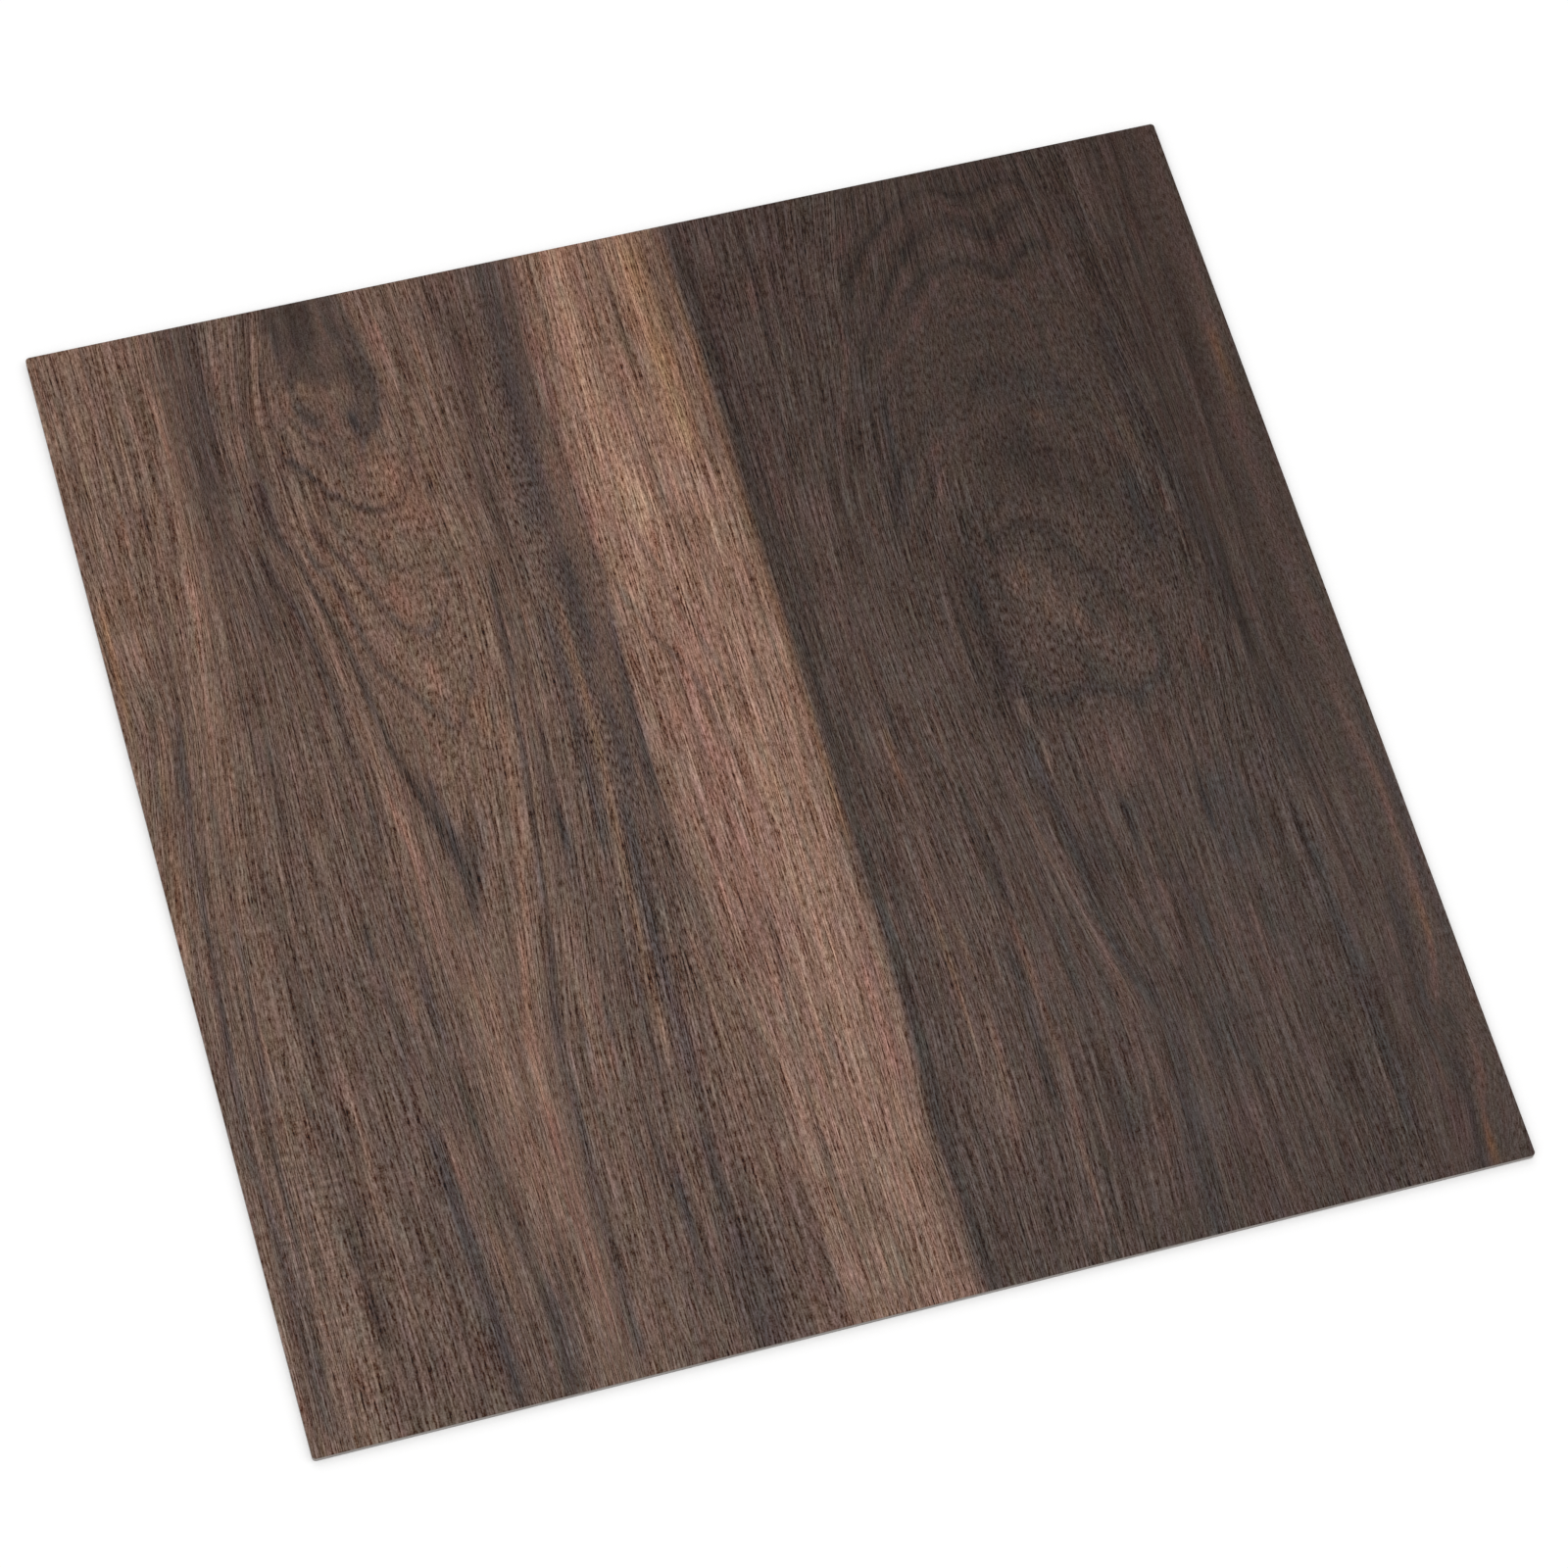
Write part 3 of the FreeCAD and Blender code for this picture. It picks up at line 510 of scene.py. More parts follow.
     (2.1, 1.8), -10, -1, -1),
    (((18.4, 52), (18, 16), (17.4, -16), (16.5, -46)), 1.5, -7, -1, 0),
    (((25.4, 156), (25.2, 126)), 0.8, 5, 1, 0),
    (((16.6, -40), (15.8, -70), (14.8, -94), (13.6, -112), (13.8, -130), (14.4, -158)),
     (1.7, 2.4), -9, -1, -1),
    # straight streaks of the dark half
    (((25, 86), (24.2, 76), (23.4, 60)), 1.0, 8, 3, 1),
    (((51.8, 73), (51.8, 63)), 0.8, 6, 1, 0),
    (((35, 130), (33.4, 122)), (1.6, 1.4), 3, 5, 0),
    (((33, 132), (32.6, 121)), 0.9, 6, 1, 0),
    (((32, 120), (31.6, 110)), 0.8, 5, 1, 0),
    (((32, 70), (30, 20), (31, -30), (30, -120)), (5.0, 6.0), 5, 1, 0),
    (((30.8, 51), (30.6, 45)), 0.9, 7, 2, 0),
    (((44.9, 57), (44.9, 51)), 0.9, 7, 2, 0),
    (((33, 60), (35, 69)), 0.7, 6, 1, 0),
    (((36, 74), (39.6, 83), (42.4, 89.4)), 0.7, 7, 2, 0),
    (((41.6, 70), (43.6, 79), (45.3, 84.5), (47.7, 89), (50, 97), (52.6, 103), (56, 109)), 0.8, 9, 2, 0),
    (((31.5, -2), (31.4, -20)), (1.0, 1.2), 6, 0, 4),
    (((28.8, -42), (28.6, -66), (28.4, -92)), 0.8, 7, 0, 3),
    (((33.4, -58), (33.2, -72)), 0.8, 6, 0, 1),
    (((33.6, -82), (32.4, -100), (31.6, -118)), 0.8, 7, 0, 3),
    (((33.4, 4), (33.3, -8)), 0.8, -9, -1, -1),
    (((24, 44), (24, 32)), 1.6, -4, -1, 0),
    (((28.6, 40), (28.6, 28)), 1.0, 3, 3, 0),
    (((44.4, 88), (42, 76)), 0.9, -4, -1, -2),
    (((52.4, 122), (56, 130), (60, 134), (62.6, 139)), 0.8, 6, 2, 0),
    (((53.4, 118), (54.6, 124), (56.6, 129)), 0.9, 6, 2, 0),
    (((66, 152), (62, 138), (58.5, 128)), (1.8, 1.6), 4, 2, 0),
    (((53, 112), (53, 104)), 1.0, 3, 4, 0),
    (((57, 108), (54, 92), (52, 74), (50, 60)), (2.2, 2.0), -3, -1, -1),
    (((60, 96), (57, 80), (55, 62), (52, 50)), (2.4, 2.2), -4, -1, -3),
    (((71, 75), (66, 68), (63.4, 57)), 2.2, 1, 2, 0),
    (((62.4, 51), (60.3, 45.6), (58.2, 35.7), (56.7, 24.3), (55.9, 15), (55.2, 2)), 0.9, 7, 2, 0),
    (((53.4, 36), (53.4, 18), (54, 2)), 1.2, 4, 1, 0),
    (((55.2, -4), (57, -15), (58.5, -25), (59, -38), (60.4, -52)), (1.1, 1.2), 9, 1, 0),
    (((45.5, 14), (45, 0), (44.2, -12), (46, -25), (47, -38)), 0.9, 7, 1, 0),
    (((44, -18), (45.4, -34), (47, -46), (48, -60)), (1.0, 1.1), -8, -1, -2),
    (((62, -44), (64, -56), (66, -70), (68, -84), (69.4, -96)), (1.0, 2.0), 8, 1, 0),
    (((68, -92), (68, -108), (65.6, -126), (64, -144)), (3.4, 3.0), 6, 2, 0),
    (((64.5, -8), (66.6, -36), (69, -62)), (1.8, 2.0), -6, -1, -3),
    (((66.6, -58), (69.6, -72), (72.2, -83), (75, -92)), (1.1, 1.2), -10, -1, -3),
    (((75.4, -82), (75.6, -91)), 1.2, -6, 0, -1),
    (((75, -88), (76, -100), (74, -122), (70, -156)), (2.4, 3.0), -5, -1, -3),
    (((45.6, -56), (47, -74), (47.5, -92), (47.4, -106), (46, -118), (45.4, -130), (44, -144)),
     (1.0, 0.9), 10, 3, 1),
    (((43, -62), (43.5, -80), (43, -114)), 1.1, -8, -1, -2),
    (((52, -48), (52, -62)), 0.8, 6, 1, 0),
    (((52.2, -72), (52, -98)), 0.8, 6, 1, 0),
    (((51.6, -112), (51.4, -124)), 0.8, 6, 1, 0),
    (((57.6, -62), (57.4, -86)), 1.2, -6, -1, -2),
    (((50, -118), (49, -150)), 1.6, -3, -1, 0),
    (((60, -106), (59, -124)), 2.0, -4, -1, -3),
    # eye of the dark half: its two pale lobes, then what goes round them
    (((76, 33), (80, 26), (84, 19.4), (86.6, 14)), (7.0, 5.4), 11, 0, 0),
    (((73.6, 20), (77, 9), (84, 3)), 5.0, 4, 1, 0),
    (((90.6, 20), (93, 12.6)), 1.6, -6, -1, -1),
    (((74.9, 32), (74.7, 25.6)), 0.9, 7, 3, 2),
    (((78.2, 35), (78, 29)), 0.9, 5, 2, 2),
    (((81.4, 25), (81, 16.6)), 0.8, 6, 1, 2),
    (((84.6, 30), (84, 20)), 0.8, 4, 1, 2),
    (((87.9, 18.6), (87.8, 12)), 0.9, 8, 1, 2),
    (((94, 11), (97.4, 5), (100, -1)), (5.2, 4.8), 8, 0, 0),
    (((92.6, 8), (92.4, 0)), 0.8, 4, 1, 0),
    (((98.2, 7), (98, -1)), 0.8, 4, 1, 0),
    (((102.6, 2), (102.8, -3)), 1.2, 6, 1, 0),
    (((75, 12), (79, 8)), (3.4, 2.6), 3, 1, 0),
    (((70.6, 34), (71.6, 40), (75.6, 44), (81, 45.2), (86.4, 42.8), (91, 36), (95, 29), (98.4, 22),
      (101, 15)), (1.9, 1.7), -8, -1, -1),
    (((71.1, 34), (71.1, 25)), 0.8, -9, -1, -1),
    (((72.4, 44), (73, 38)), 1.0, -5, -1, -1),
    (((83, 8), (87, 2), (86, -3)), (2.6, 2.2), -6, -1, -1),
    (((101, 18.6), (101.2, 13.6)), (0.9, 0.8), -9, -1, -1),
    (((112.6, 23), (112.8, 19)), 0.9, -6, -1, -1),
    (((106, 14), (106, 2)), 0.9, -6, -1, -1),
    (((92, 47), (95.6, 40), (97.4, 32)), 3.2, 5, 1, 0),
    (((103, 26), (106, 19), (107, 12)), 4.0, 2, 1, 0),
    (((110, 24), (113, 14), (115, 4), (115.4, -8)), (2.4, 2.0), 6, 2, 0),
    (((115.7, 4), (115.7, -6)), 0.8, 7, 1, 1),
    (((69, 52), (68.4, 44)), 1.5, -6, -1, -1),
    (((69.6, 49.4), (76, 53), (84, 52)), 0.9, -3, -1, -2),
    (((75, 48.6), (80, 50), (86, 48.6), (91, 45)), 0.9, 4, 0, 0),
    (((67, 44), (65.8, 34), (65.2, 24), (65.4, 12), (66.8, 2), (69.6, -6)), (2.7, 2.6), -9, 0, -2),
    (((65, 50), (62, 38), (61, 22), (61.4, 8), (63, -4)), 3.0, -5, 0, 0),
    (((65.4, 32), (65.2, 18)), 0.9, -6, -1, -2),
    (((66, 16), (66.6, 5)), 0.9, -6, -1, -2),
    (((69.4, -3), (75, -5.8), (81, -5.2), (86, -4.2), (91.4, -7), (97, -8.4), (103, -5.6), (106.4, 1)),
     2.0, -7, -1, -3),
    (((80, 66), (88, 67), (98, 60)), 5.4, -6, 0, -1),
    (((86, 58), (99, 55), (110, 46), (116, 32)), 6.0, -4, 0, 0),
    (((84, 68), (87, 64), (89, 57)), 2.4, -4, -1, -1),
    (((90, 73), (90.4, 67)), 1.6, -5, -2, -2),
    (((82, 88), (96, 84), (108, 76)), 6.0, -2, -1, -3),
    (((87, 92), (94, 89)), (4.0, 3.4), 3, 0, 0),
    (((112, 50), (114, 30)), 4.0, -2, -1, -4),
    (((121, 102), (121.4, 80), (122.8, 62), (124.4, 50), (126, 38), (127.2, 24), (127.8, 4)),
     (2.4, 2.6), -4, -1, -3),
    (((129.6, -10), (130, -40)), 3.0, -4, -1, -2),
    (((131.6, 38), (132.4, 18), (132.6, -6)), 1.2, 5, 1, 0),
    (((112.8, 72), (113, 59)), 1.0, 5, 1, 0),
    (((121.4, 38), (121.4, 28)), 0.9, 5, 1, 0),
    (((128.5, 6), (128.3, -7)), (1.2, 1.1), -12, -1, -1),
    (((125, 7), (125, -5)), 0.8, 7, 1, 0),
    (((119.8, 48), (119.7, 39)), (0.8, 0.9), 11, 2, 1),
    (((84, -8), (85, -20), (85.4, -33)), (4.6, 4.4), 5, 1, 0),
    (((85.4, -16), (85.4, -29)), 0.8, 7, 1, 0),
    (((76, -20), (90, -22), (106, -20)), 8.0, 3, 1, 0),
    (((92.6, -28), (93, -35)), 1.0, 6, 1, 0),
    (((66.4, -3), (66.2, -11)), 0.7, 10, 1, 0),
    (((68.5, -13), (68.8, -22)), 0.7, 12, 1, 0),
    (((83.6, -37), (84.2, -46)), 1.3, -9, -1, -4),
    (((72.4, -42), (74, -56)), (1.6, 2.0), -5, -1, -3),
    (((103.4, -34), (103, -50)), 1.2, -9, -1, -4),
    (((107, -33), (106, -60)), (2.4, 3.0), -4, -1, -4),
    (((112, -36), (112, -58)), (2.4, 2.6), -5, -1, -3),
    (((92, -62), (92.6, -82)), 1.8, -5, -1, -3),
    (((110, -66), (111, -82)), 2.2, -3, -1, -3),
    (((91, -92), (88, -110)), (4.0, 5.0), -3, -1, -3),
    (((104, -74), (104, -100)), (3.4, 3.0), 3, 2, 0),
    (((85, -60), (84, -80)), 2.6, 3, 2, 0),
    (((88, -118), (87, -150)), 5.0, 2, 2, 0),
    (((122, -20), (122.6, -80)), 1.6, 3, 1, -1),
    (((125.4, -50), (126, -140)), (1.6, 1.8), -4, -1, -3),
    # arches above the eye
    (((53, 104), (57, 118), (62, 128), (65.4, 133.4), (69, 136.6), (74, 140.4), (80, 144), (86, 147)),
     1.2, -7, -1, -2),
    (((86, 147.4), (91, 147), (95, 143.4), (103, 144.6), (108, 145.8), (114, 141.4), (118.6, 136)),
     (2.0, 1.8), -5, -1, -2),
    (((52, 92), (58, 104.6), (64, 112.6), (68, 118.8), (71.4, 123.4), (76, 128.6), (81.6, 134),
      (86, 136.4)), (1.2, 1.4), -8, -1, -2),
    (((74.4, 131), (77, 127)), 1.5, -5, -1, -1),
    (((84, 136.4), (89, 136.4), (93, 133.2), (97, 131), (101, 131.6), (106, 134.8), (111, 136.6),
      (115.4, 133)), (1.6, 1.5), -6, -1, -2),
    (((69, 110.4), (73, 115.6), (79, 120.8), (83.5, 123.4), (88, 124)), (1.2, 1.3), -5, -1, -2),
    (((87, 124), (92, 123), (96, 119.8), (100, 117.4), (104, 121.4), (108.4, 124.8), (113, 122.6),
      (117, 119.6)), (1.3, 1.2), -7, -1, -2),
    (((120, 136), (123, 132.6), (127, 128.6), (130, 120), (131.6, 108)), (0.9, 1.0), -7, -1, -2),
    (((80, 111), (84.4, 112), (91, 111), (95, 108.6), (98, 105.4), (101, 101)), 0.9, -5, -1, -1),
    (((83, 105), (86, 104.6)), 1.6, -5, -1, -1),
    (((92, 104.4), (94.4, 103)), 1.4, -5, -1, -1),
    (((63, 107), (65, 102)), 2.0, -4, -1, -1),
    (((56, 90), (61, 96), (66.6, 101.6), (72.4, 107.4), (77.4, 113), (81.4, 118.2), (87, 119)),
     (1.5, 1.3), 8, 3, 0),
    (((81.2, 121), (81, 110)), 1.1, 6, 1, 0),
    (((74, 110), (73.6, 99)), 0.9, 5, 1, 0),
    (((74, 126), (73.6, 119)), 1.2, 5, 2, 0),
    (((86, 118.6), (92, 117), (96, 113.4), (100, 109), (103.4, 103)), (1.2, 1.0), 6, 3, 0),
    (((80, 107.4), (84.6, 109), (90, 108.2), (94, 106), (98, 102.6)), 0.7, 4, 2, 0),
    (((81, 92), (84, 94.4), (90, 95), (96, 93.2)), 0.6, 3, 1, 0),
    (((105.5, 101), (105.7, 91), (107, 81)), 0.6, 9, 1, 0),
    (((62, 108), (67, 113.6), (71, 118.6), (75.6, 123.4), (80.6, 127.8)), (0.9, 1.4), 4, 3, 0),
    (((80, 127.6), (85, 129.8), (90, 129), (94.4, 126.4), (99, 124.6), (105, 127.6), (111, 130)),
     (1.7, 1.9), 2, 2, 0),
    (((94, 128), (100, 126), (106, 129)), (2.4, 2.6), 1, 1, 0),
    (((100, 112), (106, 114), (112, 116)), 2.4, 2, 3, 0),
    (((60, 121), (65, 127.6), (70, 132), (76, 136.4), (82, 140)), 0.9, 4, 3, 0),
    (((82, 140), (88, 141.6), (94, 138.4), (99, 136.6), (105, 139.6), (112, 140.4)), 1.3, 4, 3, 0),
    (((115, 140), (117, 118), (121, 98)), 2.4, 3, 2, 0),
    # limbs below the arches
    (((52.4, 38), (55, 52), (57.6, 58), (60, 62), (62.4, 66.4), (65.6, 70), (69, 73), (72.4, 77),
      (77, 82)), 0.8, 5, 2, 1),
    (((61.4, 48), (63, 55), (65.6, 62.6), (69.4, 69), (75, 74.6), (83, 78.6)), (0.9, 1.0), 7, 2, 1),
    (((83, 75.8), (90, 77), (96.4, 73.6), (102, 74.2), (108, 69.4), (112.2, 64.6), (114.8, 59),
      (117.2, 54.6), (119.4, 50)), 0.9, 4, 0, 2),
    (((95, 75.4), (95.4, 71.6)), 1.3, 8, 2, 2),
    (((56, 44), (58.6, 53), (61.4, 59), (65, 64.4), (69, 69.4), (74, 75)), 0.7, -6, -1, -2),
    (((50, 47), (53, 60), (57, 67), (62, 73), (67, 79), (73, 85)), (1.1, 1.2), -5, -1, -2),
    (((52.6, 70), (57, 80), (62, 88), (68, 96)), 1.0, 3, 2, 0),
    (((108, 78), (116, 66), (119, 54)), 1.2, 1, -1, 2),
    # lines along the right edge
    (((129, 158), (128.6, 116)), 3.0, 4, 1, 0),
    (((137, 156), (137.4, 100)), 1.5, 4, 2, 0),
    (((142, 152), (142, 112)), 1.2, 7, 1, 0),
    (((133.4, 62), (132.8, 40)), (1.8, 1.6), 3, 2, 0),
    (((132.2, 98), (132, 60)), 0.8, 4, 1, 0),
    (((136.8, 102), (137, 76), (137, 52)), 1.3, 5, 1, 0),
    (((138.8, 92), (138.4, 60), (138.8, 28)), 1.5, -4, 0, -1),
    (((140.4, 92), (140, 68)), 0.9, -6, 0, 0),
    (((141.6, 110), (141.6, 84), (141.4, 62)), (1.6, 1.5), -6, 0, 0),
    (((147.4, 98), (147.2, 76)), 1.0, 4, 1, 0),
    (((149.5, 116), (149.4, 98), (149, 82)), 0.9, 9, 1, 0),
    (((150.4, 76), (150.2, 40), (149.8, -4)), 0.8, -5, 0, 0),
    (((146.8, 35), (146.6, 21)), 0.9, -8, 0, 0),
    (((148, 21), (148, -2)), 0.8, 6, 1, 0),
    (((148.8, 156), (148, 116), (146.8, 84), (145, 56), (145.4, 22), (146, -14)), (2.0, 1.8), 3, 3, 0),
    (((147.4, 92), (147.6, 66)), 1.3, 3, 0, 8),
    (((145.6, 62), (145.6, 56)), 2.0, 1, 4, 0),
    (((145, -16), (146, -30), (147.4, -46), (147.4, -62), (147, -80), (146, -91), (144, -100),
      (141.8, -110)), 1.2, 10, 3, 1),
    (((146.2, -80), (146, -92)), 1.2, 3, 0, 6),
    (((141, -70), (140.6, -88), (139.2, -104), (140, -112)), (1.1, 1.2), -8, 0, -2),
    (((143.6, -109), (144.4, -116)), (1.3, 1.2), -9, 0, -1),
    (((141.6, -118), (141.4, -132), (138.6, -156)), (1.4, 1.6), -8, 0, -2),
    (((147.2, -114), (146.2, -128), (143.6, -139), (141.4, -156)), (1.1, 1.3), 9, 3, 3),
    (((142.4, -142), (143, -152)), 1.4, 3, 0, 8),
    (((137, -86), (137, -99)), 0.8, 6, 1, 0),
    (((136.6, -119), (136.5, -131)), 0.9, 6, 1, 0),
    (((136.6, -128), (137, -152)), (2.0, 2.4), 3, 4, 0),
    (((131, -42), (132.6, -80), (132, -120)), 2.6, 3, 1, 0),
    (((150, -20), (150.6, -100)), 1.5, -5, 0, -2),
)

# How the traced strokes waver across and along the grain: how far, patch width, patch length and seed.
WAVER_ACROSS = ((0.35, 5.0, 9.0, 1),)
WAVER_ALONG = ((1.2, 4.0, 12.0, 2), (1.0, 1.3, 16.0, 5))

# Where the drawn ring lines show, where the grain shows as short specks, where rings show clearly and
# where the grain ripples: soft ellipses, each with its centre x, y and its half sizes.
LINED_WOOD = ((-87, 70, 23, 112), (87, 118, 36, 44))
SHORT_GRAIN = (
    (-80, 128, 16, 30), (-77, 60, 16, 60), (88, 90, 34, 40), (90, 22, 32, 38), (-35, 60, 9, 90),
    (156, 0, 20, 300),
)
FIGURED_GRAIN = ((-80, 70, 30, 120), (90, 70, 52, 110), (70, -70, 40, 60))
RIPPLED_GRAIN = ((-137, -105, 14, 55),)

# How clearly rings show elsewhere.
LEAST_FIGURED = 0.35

# Where the fine grain is stronger or weaker than 1: what is added to it, and soft ellipses as above.
GRAIN_CHANGES = (
    (-0.2, ((-80, 132, 16, 34),)),
    (-0.3, ((-81, 146, 12, 24),)),
    (-0.2, ((92, 100, 34, 66),)),
    (-0.25, ((92, -84, 42, 80), (60, -100, 14, 80))),
    (-0.4, ((140, 0, 16, 300),)),
    (0.35, ((-38, 20, 12, 110),)),
)

# The plate laid through the rings: how far apart its knots lie, how loosely they hold it, how many
# parts it is read in, and a number that keeps its logarithm from zero.
KNOT_SPACING = 9.0
PLATE_SLACK = 2.0
PLATE_PARTS = 40
TINY = 1e-9

# How a stroke is laid: the spacing of its points, the share of its length over which each end fades,
# with the least and most in millimetres, how far on the fade its very end is, how steep the fade is,
# and how many half widths it reaches.
STROKE_SPACING = 0.6
FADE_SHARE = 0.22
FADE_LIMITS = (1.5, 9.0)
FADE_START = 0.8
FADE_POWER = 0.8
STROKE_REACH = 2.6

# Numbers that turn the crossings of a lattice and a seed into repeatable random ones.
COLUMN_TURN = 127.1
ROW_TURN = 311.7
SEED_TURN = 74.7
HASH_SCALE = 43758.5453

# Rows of points are told apart by this many digits of their y.
ROW_DIGITS = 4


def hashed(columns, rows, seed):
    """A repeatable random number from -1 to 1 for each crossing of a lattice."""
    turns = columns * COLUMN_TURN + rows * ROW_TURN + seed * SEED_TURN
    mixed = np.sin(turns) * HASH_SCALE
    return 2 * (mixed - np.floor(mixed)) - 1


def wander(x, y, width, length, seed):
    """Smooth noise from -1 to 1 whose patches are so wide and so long."""
    across = x / width
    along = y / length
    column = np.floor(across)
    row = np.floor(along)
    ease_x = across - column
    ease_y = along - row
    ease_x = ease_x * ease_x * (3 - 2 * ease_x)
    ease_y = ease_y * ease_y * (3 - 2 * ease_y)
    near = hashed(column, row, seed) * (1 - ease_x) + hashed(column + 1, row, seed) * ease_x
    far = hashed(column, row + 1, seed) * (1 - ease_x) + hashed(column + 1, row + 1, seed) * ease_x
    return near * (1 - ease_y) + far * ease_y


def add_waves(start, x, y, waves):
    """Adds smooth noise to some values: each wave has its size, patch width, patch length and seed."""
    result = start
    for size, width, length, seed in waves:
        result = result + size * wander(x, y, width, length, seed)
    return result


def smooth_line(points, at):
    """A smooth curve through (position, value) points, read at the given positions."""
    knots, values = np.array(sorted(points), float).T
    slopes = np.gradient(values, knots)
    span = np.clip(np.searchsorted(knots, at) - 1, 0, len(knots) - 2)
    width = knots[span + 1] - knots[span]
    t = np.clip((at - knots[span]) / width, 0, 1)
    start = values[span] * (1 + 2 * t) * (1 - t) ** 2 + slopes[span] * width * t * (1 - t) ** 2
    end = values[span + 1] * t ** 2 * (3 - 2 * t) - slopes[span + 1] * width * t ** 2 * (1 - t)
    return start + end


def grain_line(x, y):
    """The grain line through each point, named by its mean x: lines bend but never cross."""
    rows, row_of = np.unique(np.round(y, ROW_DIGITS), return_inverse=True)
    names = np.array([np.mean([x_at for _, x_at in guide]) for guide in GRAIN_GUIDES])
    crossings = np.stack([smooth_line(guide, rows) for guide in GRAIN_GUIDES], 1)
    line = np.empty_like(x)
    for row, crossing in enumerate(crossings):
        here = row_of == row
        line[here] = np.interp(x[here], crossing, names)
        left = here & (x < crossing[0])
        right = here & (x > crossing[-1])
        line[left] = names[0] + x[left] - crossing[0]
        line[right] = names[-1] + x[right] - crossing[-1]
    return line


def curve_points(points, spacing, closed=False):
    """Evenly spread points along a smooth curve through the given ones."""
    points = np.array(points, float)
    if closed:
        ring = np.vstack([points[-1:], points, points[:2]])
    else:
        ring = np.vstack([2 * points[0] - points[1], points, 2 * points[-1] - points[-2]])
    path = []
    for a, b, c, d in zip(ring, ring[1:], ring[2:], ring[3:]):
        steps = max(1, round(np.linalg.norm(c - b) / spacing))
        t = np.linspace(0, 1, steps, endpoint=False)[:, None]
        square = (2 * a - 5 * b + 4 * c - d) * t ** 2
        cube = (3 * b - a - 3 * c + d) * t ** 3
        path.append((2 * b + (c - a) * t + square + cube) / 2)
    if not closed:
        path.append(points[-1:])
    return np.vstack(path)


def plate_bend(gap_squared):
    """How a thin plate bends around one of its knots."""
    return gap_squared * np.log(gap_squared + TINY)


def ring_value(x, y):
    """The growth ring at each point: a thin plate laid through the drawn rings."""
    paths = [curve_points(points, KNOT_SPACING, closed) for _, closed, points in RINGS]
    knots = np.vstack(paths)
    values = np.concatenate([np.full(len(path), ring[0]) for path, ring in zip(paths, RINGS)])
    count = len(knots)
    plane = np.column_stack([np.ones(count), knots])
    gaps = ((knots[:, None] - knots[None]) ** 2).sum(2)
    system = np.zeros((count + 3, count + 3))
    system[:count, :count] = plate_bend(gaps) + np.eye(count) * PLATE_SLACK
    system[:count, count:] = plane
    system[count:, :count] = plane.T
    weights = np.linalg.solve(system, np.r_[values, 0, 0, 0])
    result = np.empty_like(x)
    for here in np.array_split(np.arange(x.size), PLATE_PARTS):
        gaps = (x[here, None] - knots[:, 0]) ** 2 + (y[here, None] - knots[:, 1]) ** 2
        tilt = weights[-3] + weights[-2] * x[here] + weights[-1] * y[here]
        result[here] = plate_bend(gaps) @ weights[:-3] + tilt
    return result


def stroke_weight(x, y, points, half_width):
    """How strongly a stroke covers each point, from 0 to 1, with soft sides and ends."""
    path = curve_points(points, STROKE_SPACING)
    along = np.r_[0, np.cumsum(np.linalg.norm(np.diff(path, axis=0), axis=1))]
    ends = np.broadcast_to(half_width, 2)
    widths = np.interp(along, (0, along[-1]), ends)
    fade = np.clip(along[-1] * FADE_SHARE, *FADE_LIMITS)
    to_end = np.minimum(along, along[-1] - along)
    strength = np.clip((to_end + FADE_START) / fade, 0, 1) ** FADE_POWER
    reach = STROKE_REACH * max(ends)
    near = (x > path[:, 0].min() - reach) & (x < path[:, 0].max() + reach)
    near &= (y > path[:, 1].min() - reach) & (y < path[:, 1].max() + reach)
    gaps = (x[near][:, None] - path[:, 0]) ** 2 + (y[near][:, None] - path[:, 1]) ** 2
    weight = np.zeros_like(x)
    weight[near] = (strength * np.exp(-gaps / widths ** 2)).max(1)
    return weight


def patch_weight(x, y, patches):
    """How far each point lies inside any of some soft ellipses: centre x, y and half sizes."""
    weight = np.zeros_like(x)
    for centre_x, centre_y, half_x, half_y in patches:
        distance = ((x - centre_x) / half_x) ** 2 + ((y - centre_y) / half_y) ** 2
        weight = np.maximum(weight, np.clip(2 - 2 * distance, 0, 1))
    return weight


def shades(x, y, line):
    """Lightness, red and gold of the print at each point: the ground, its fades and the strokes."""
    bent_x = add_waves(x, x, y, WAVER_ACROSS)
    bent_y = add_waves(y, x, y, WAVER_ALONG)
    tone = np.interp(line, *np.array(GROUND).T)
    dark_half = np.clip((line - DARK_HALF_START) / DARK_HALF_EDGE, 0, 1)
    tone = tone + dark_half * smooth_line(DARK_HALF_FADE, y)
    red = smooth_line(RED_FADE, y)
    gold = smooth_line(GOLD_FADE, y)
    for points, half_width, lightness, redness, goldness in STROKES:
        weight = stroke_weight(bent_x, bent_y, points, half_width)
        tone += lightness * weight
        red += redness * weight
        gold += goldness * weight
    return tone, red, gold


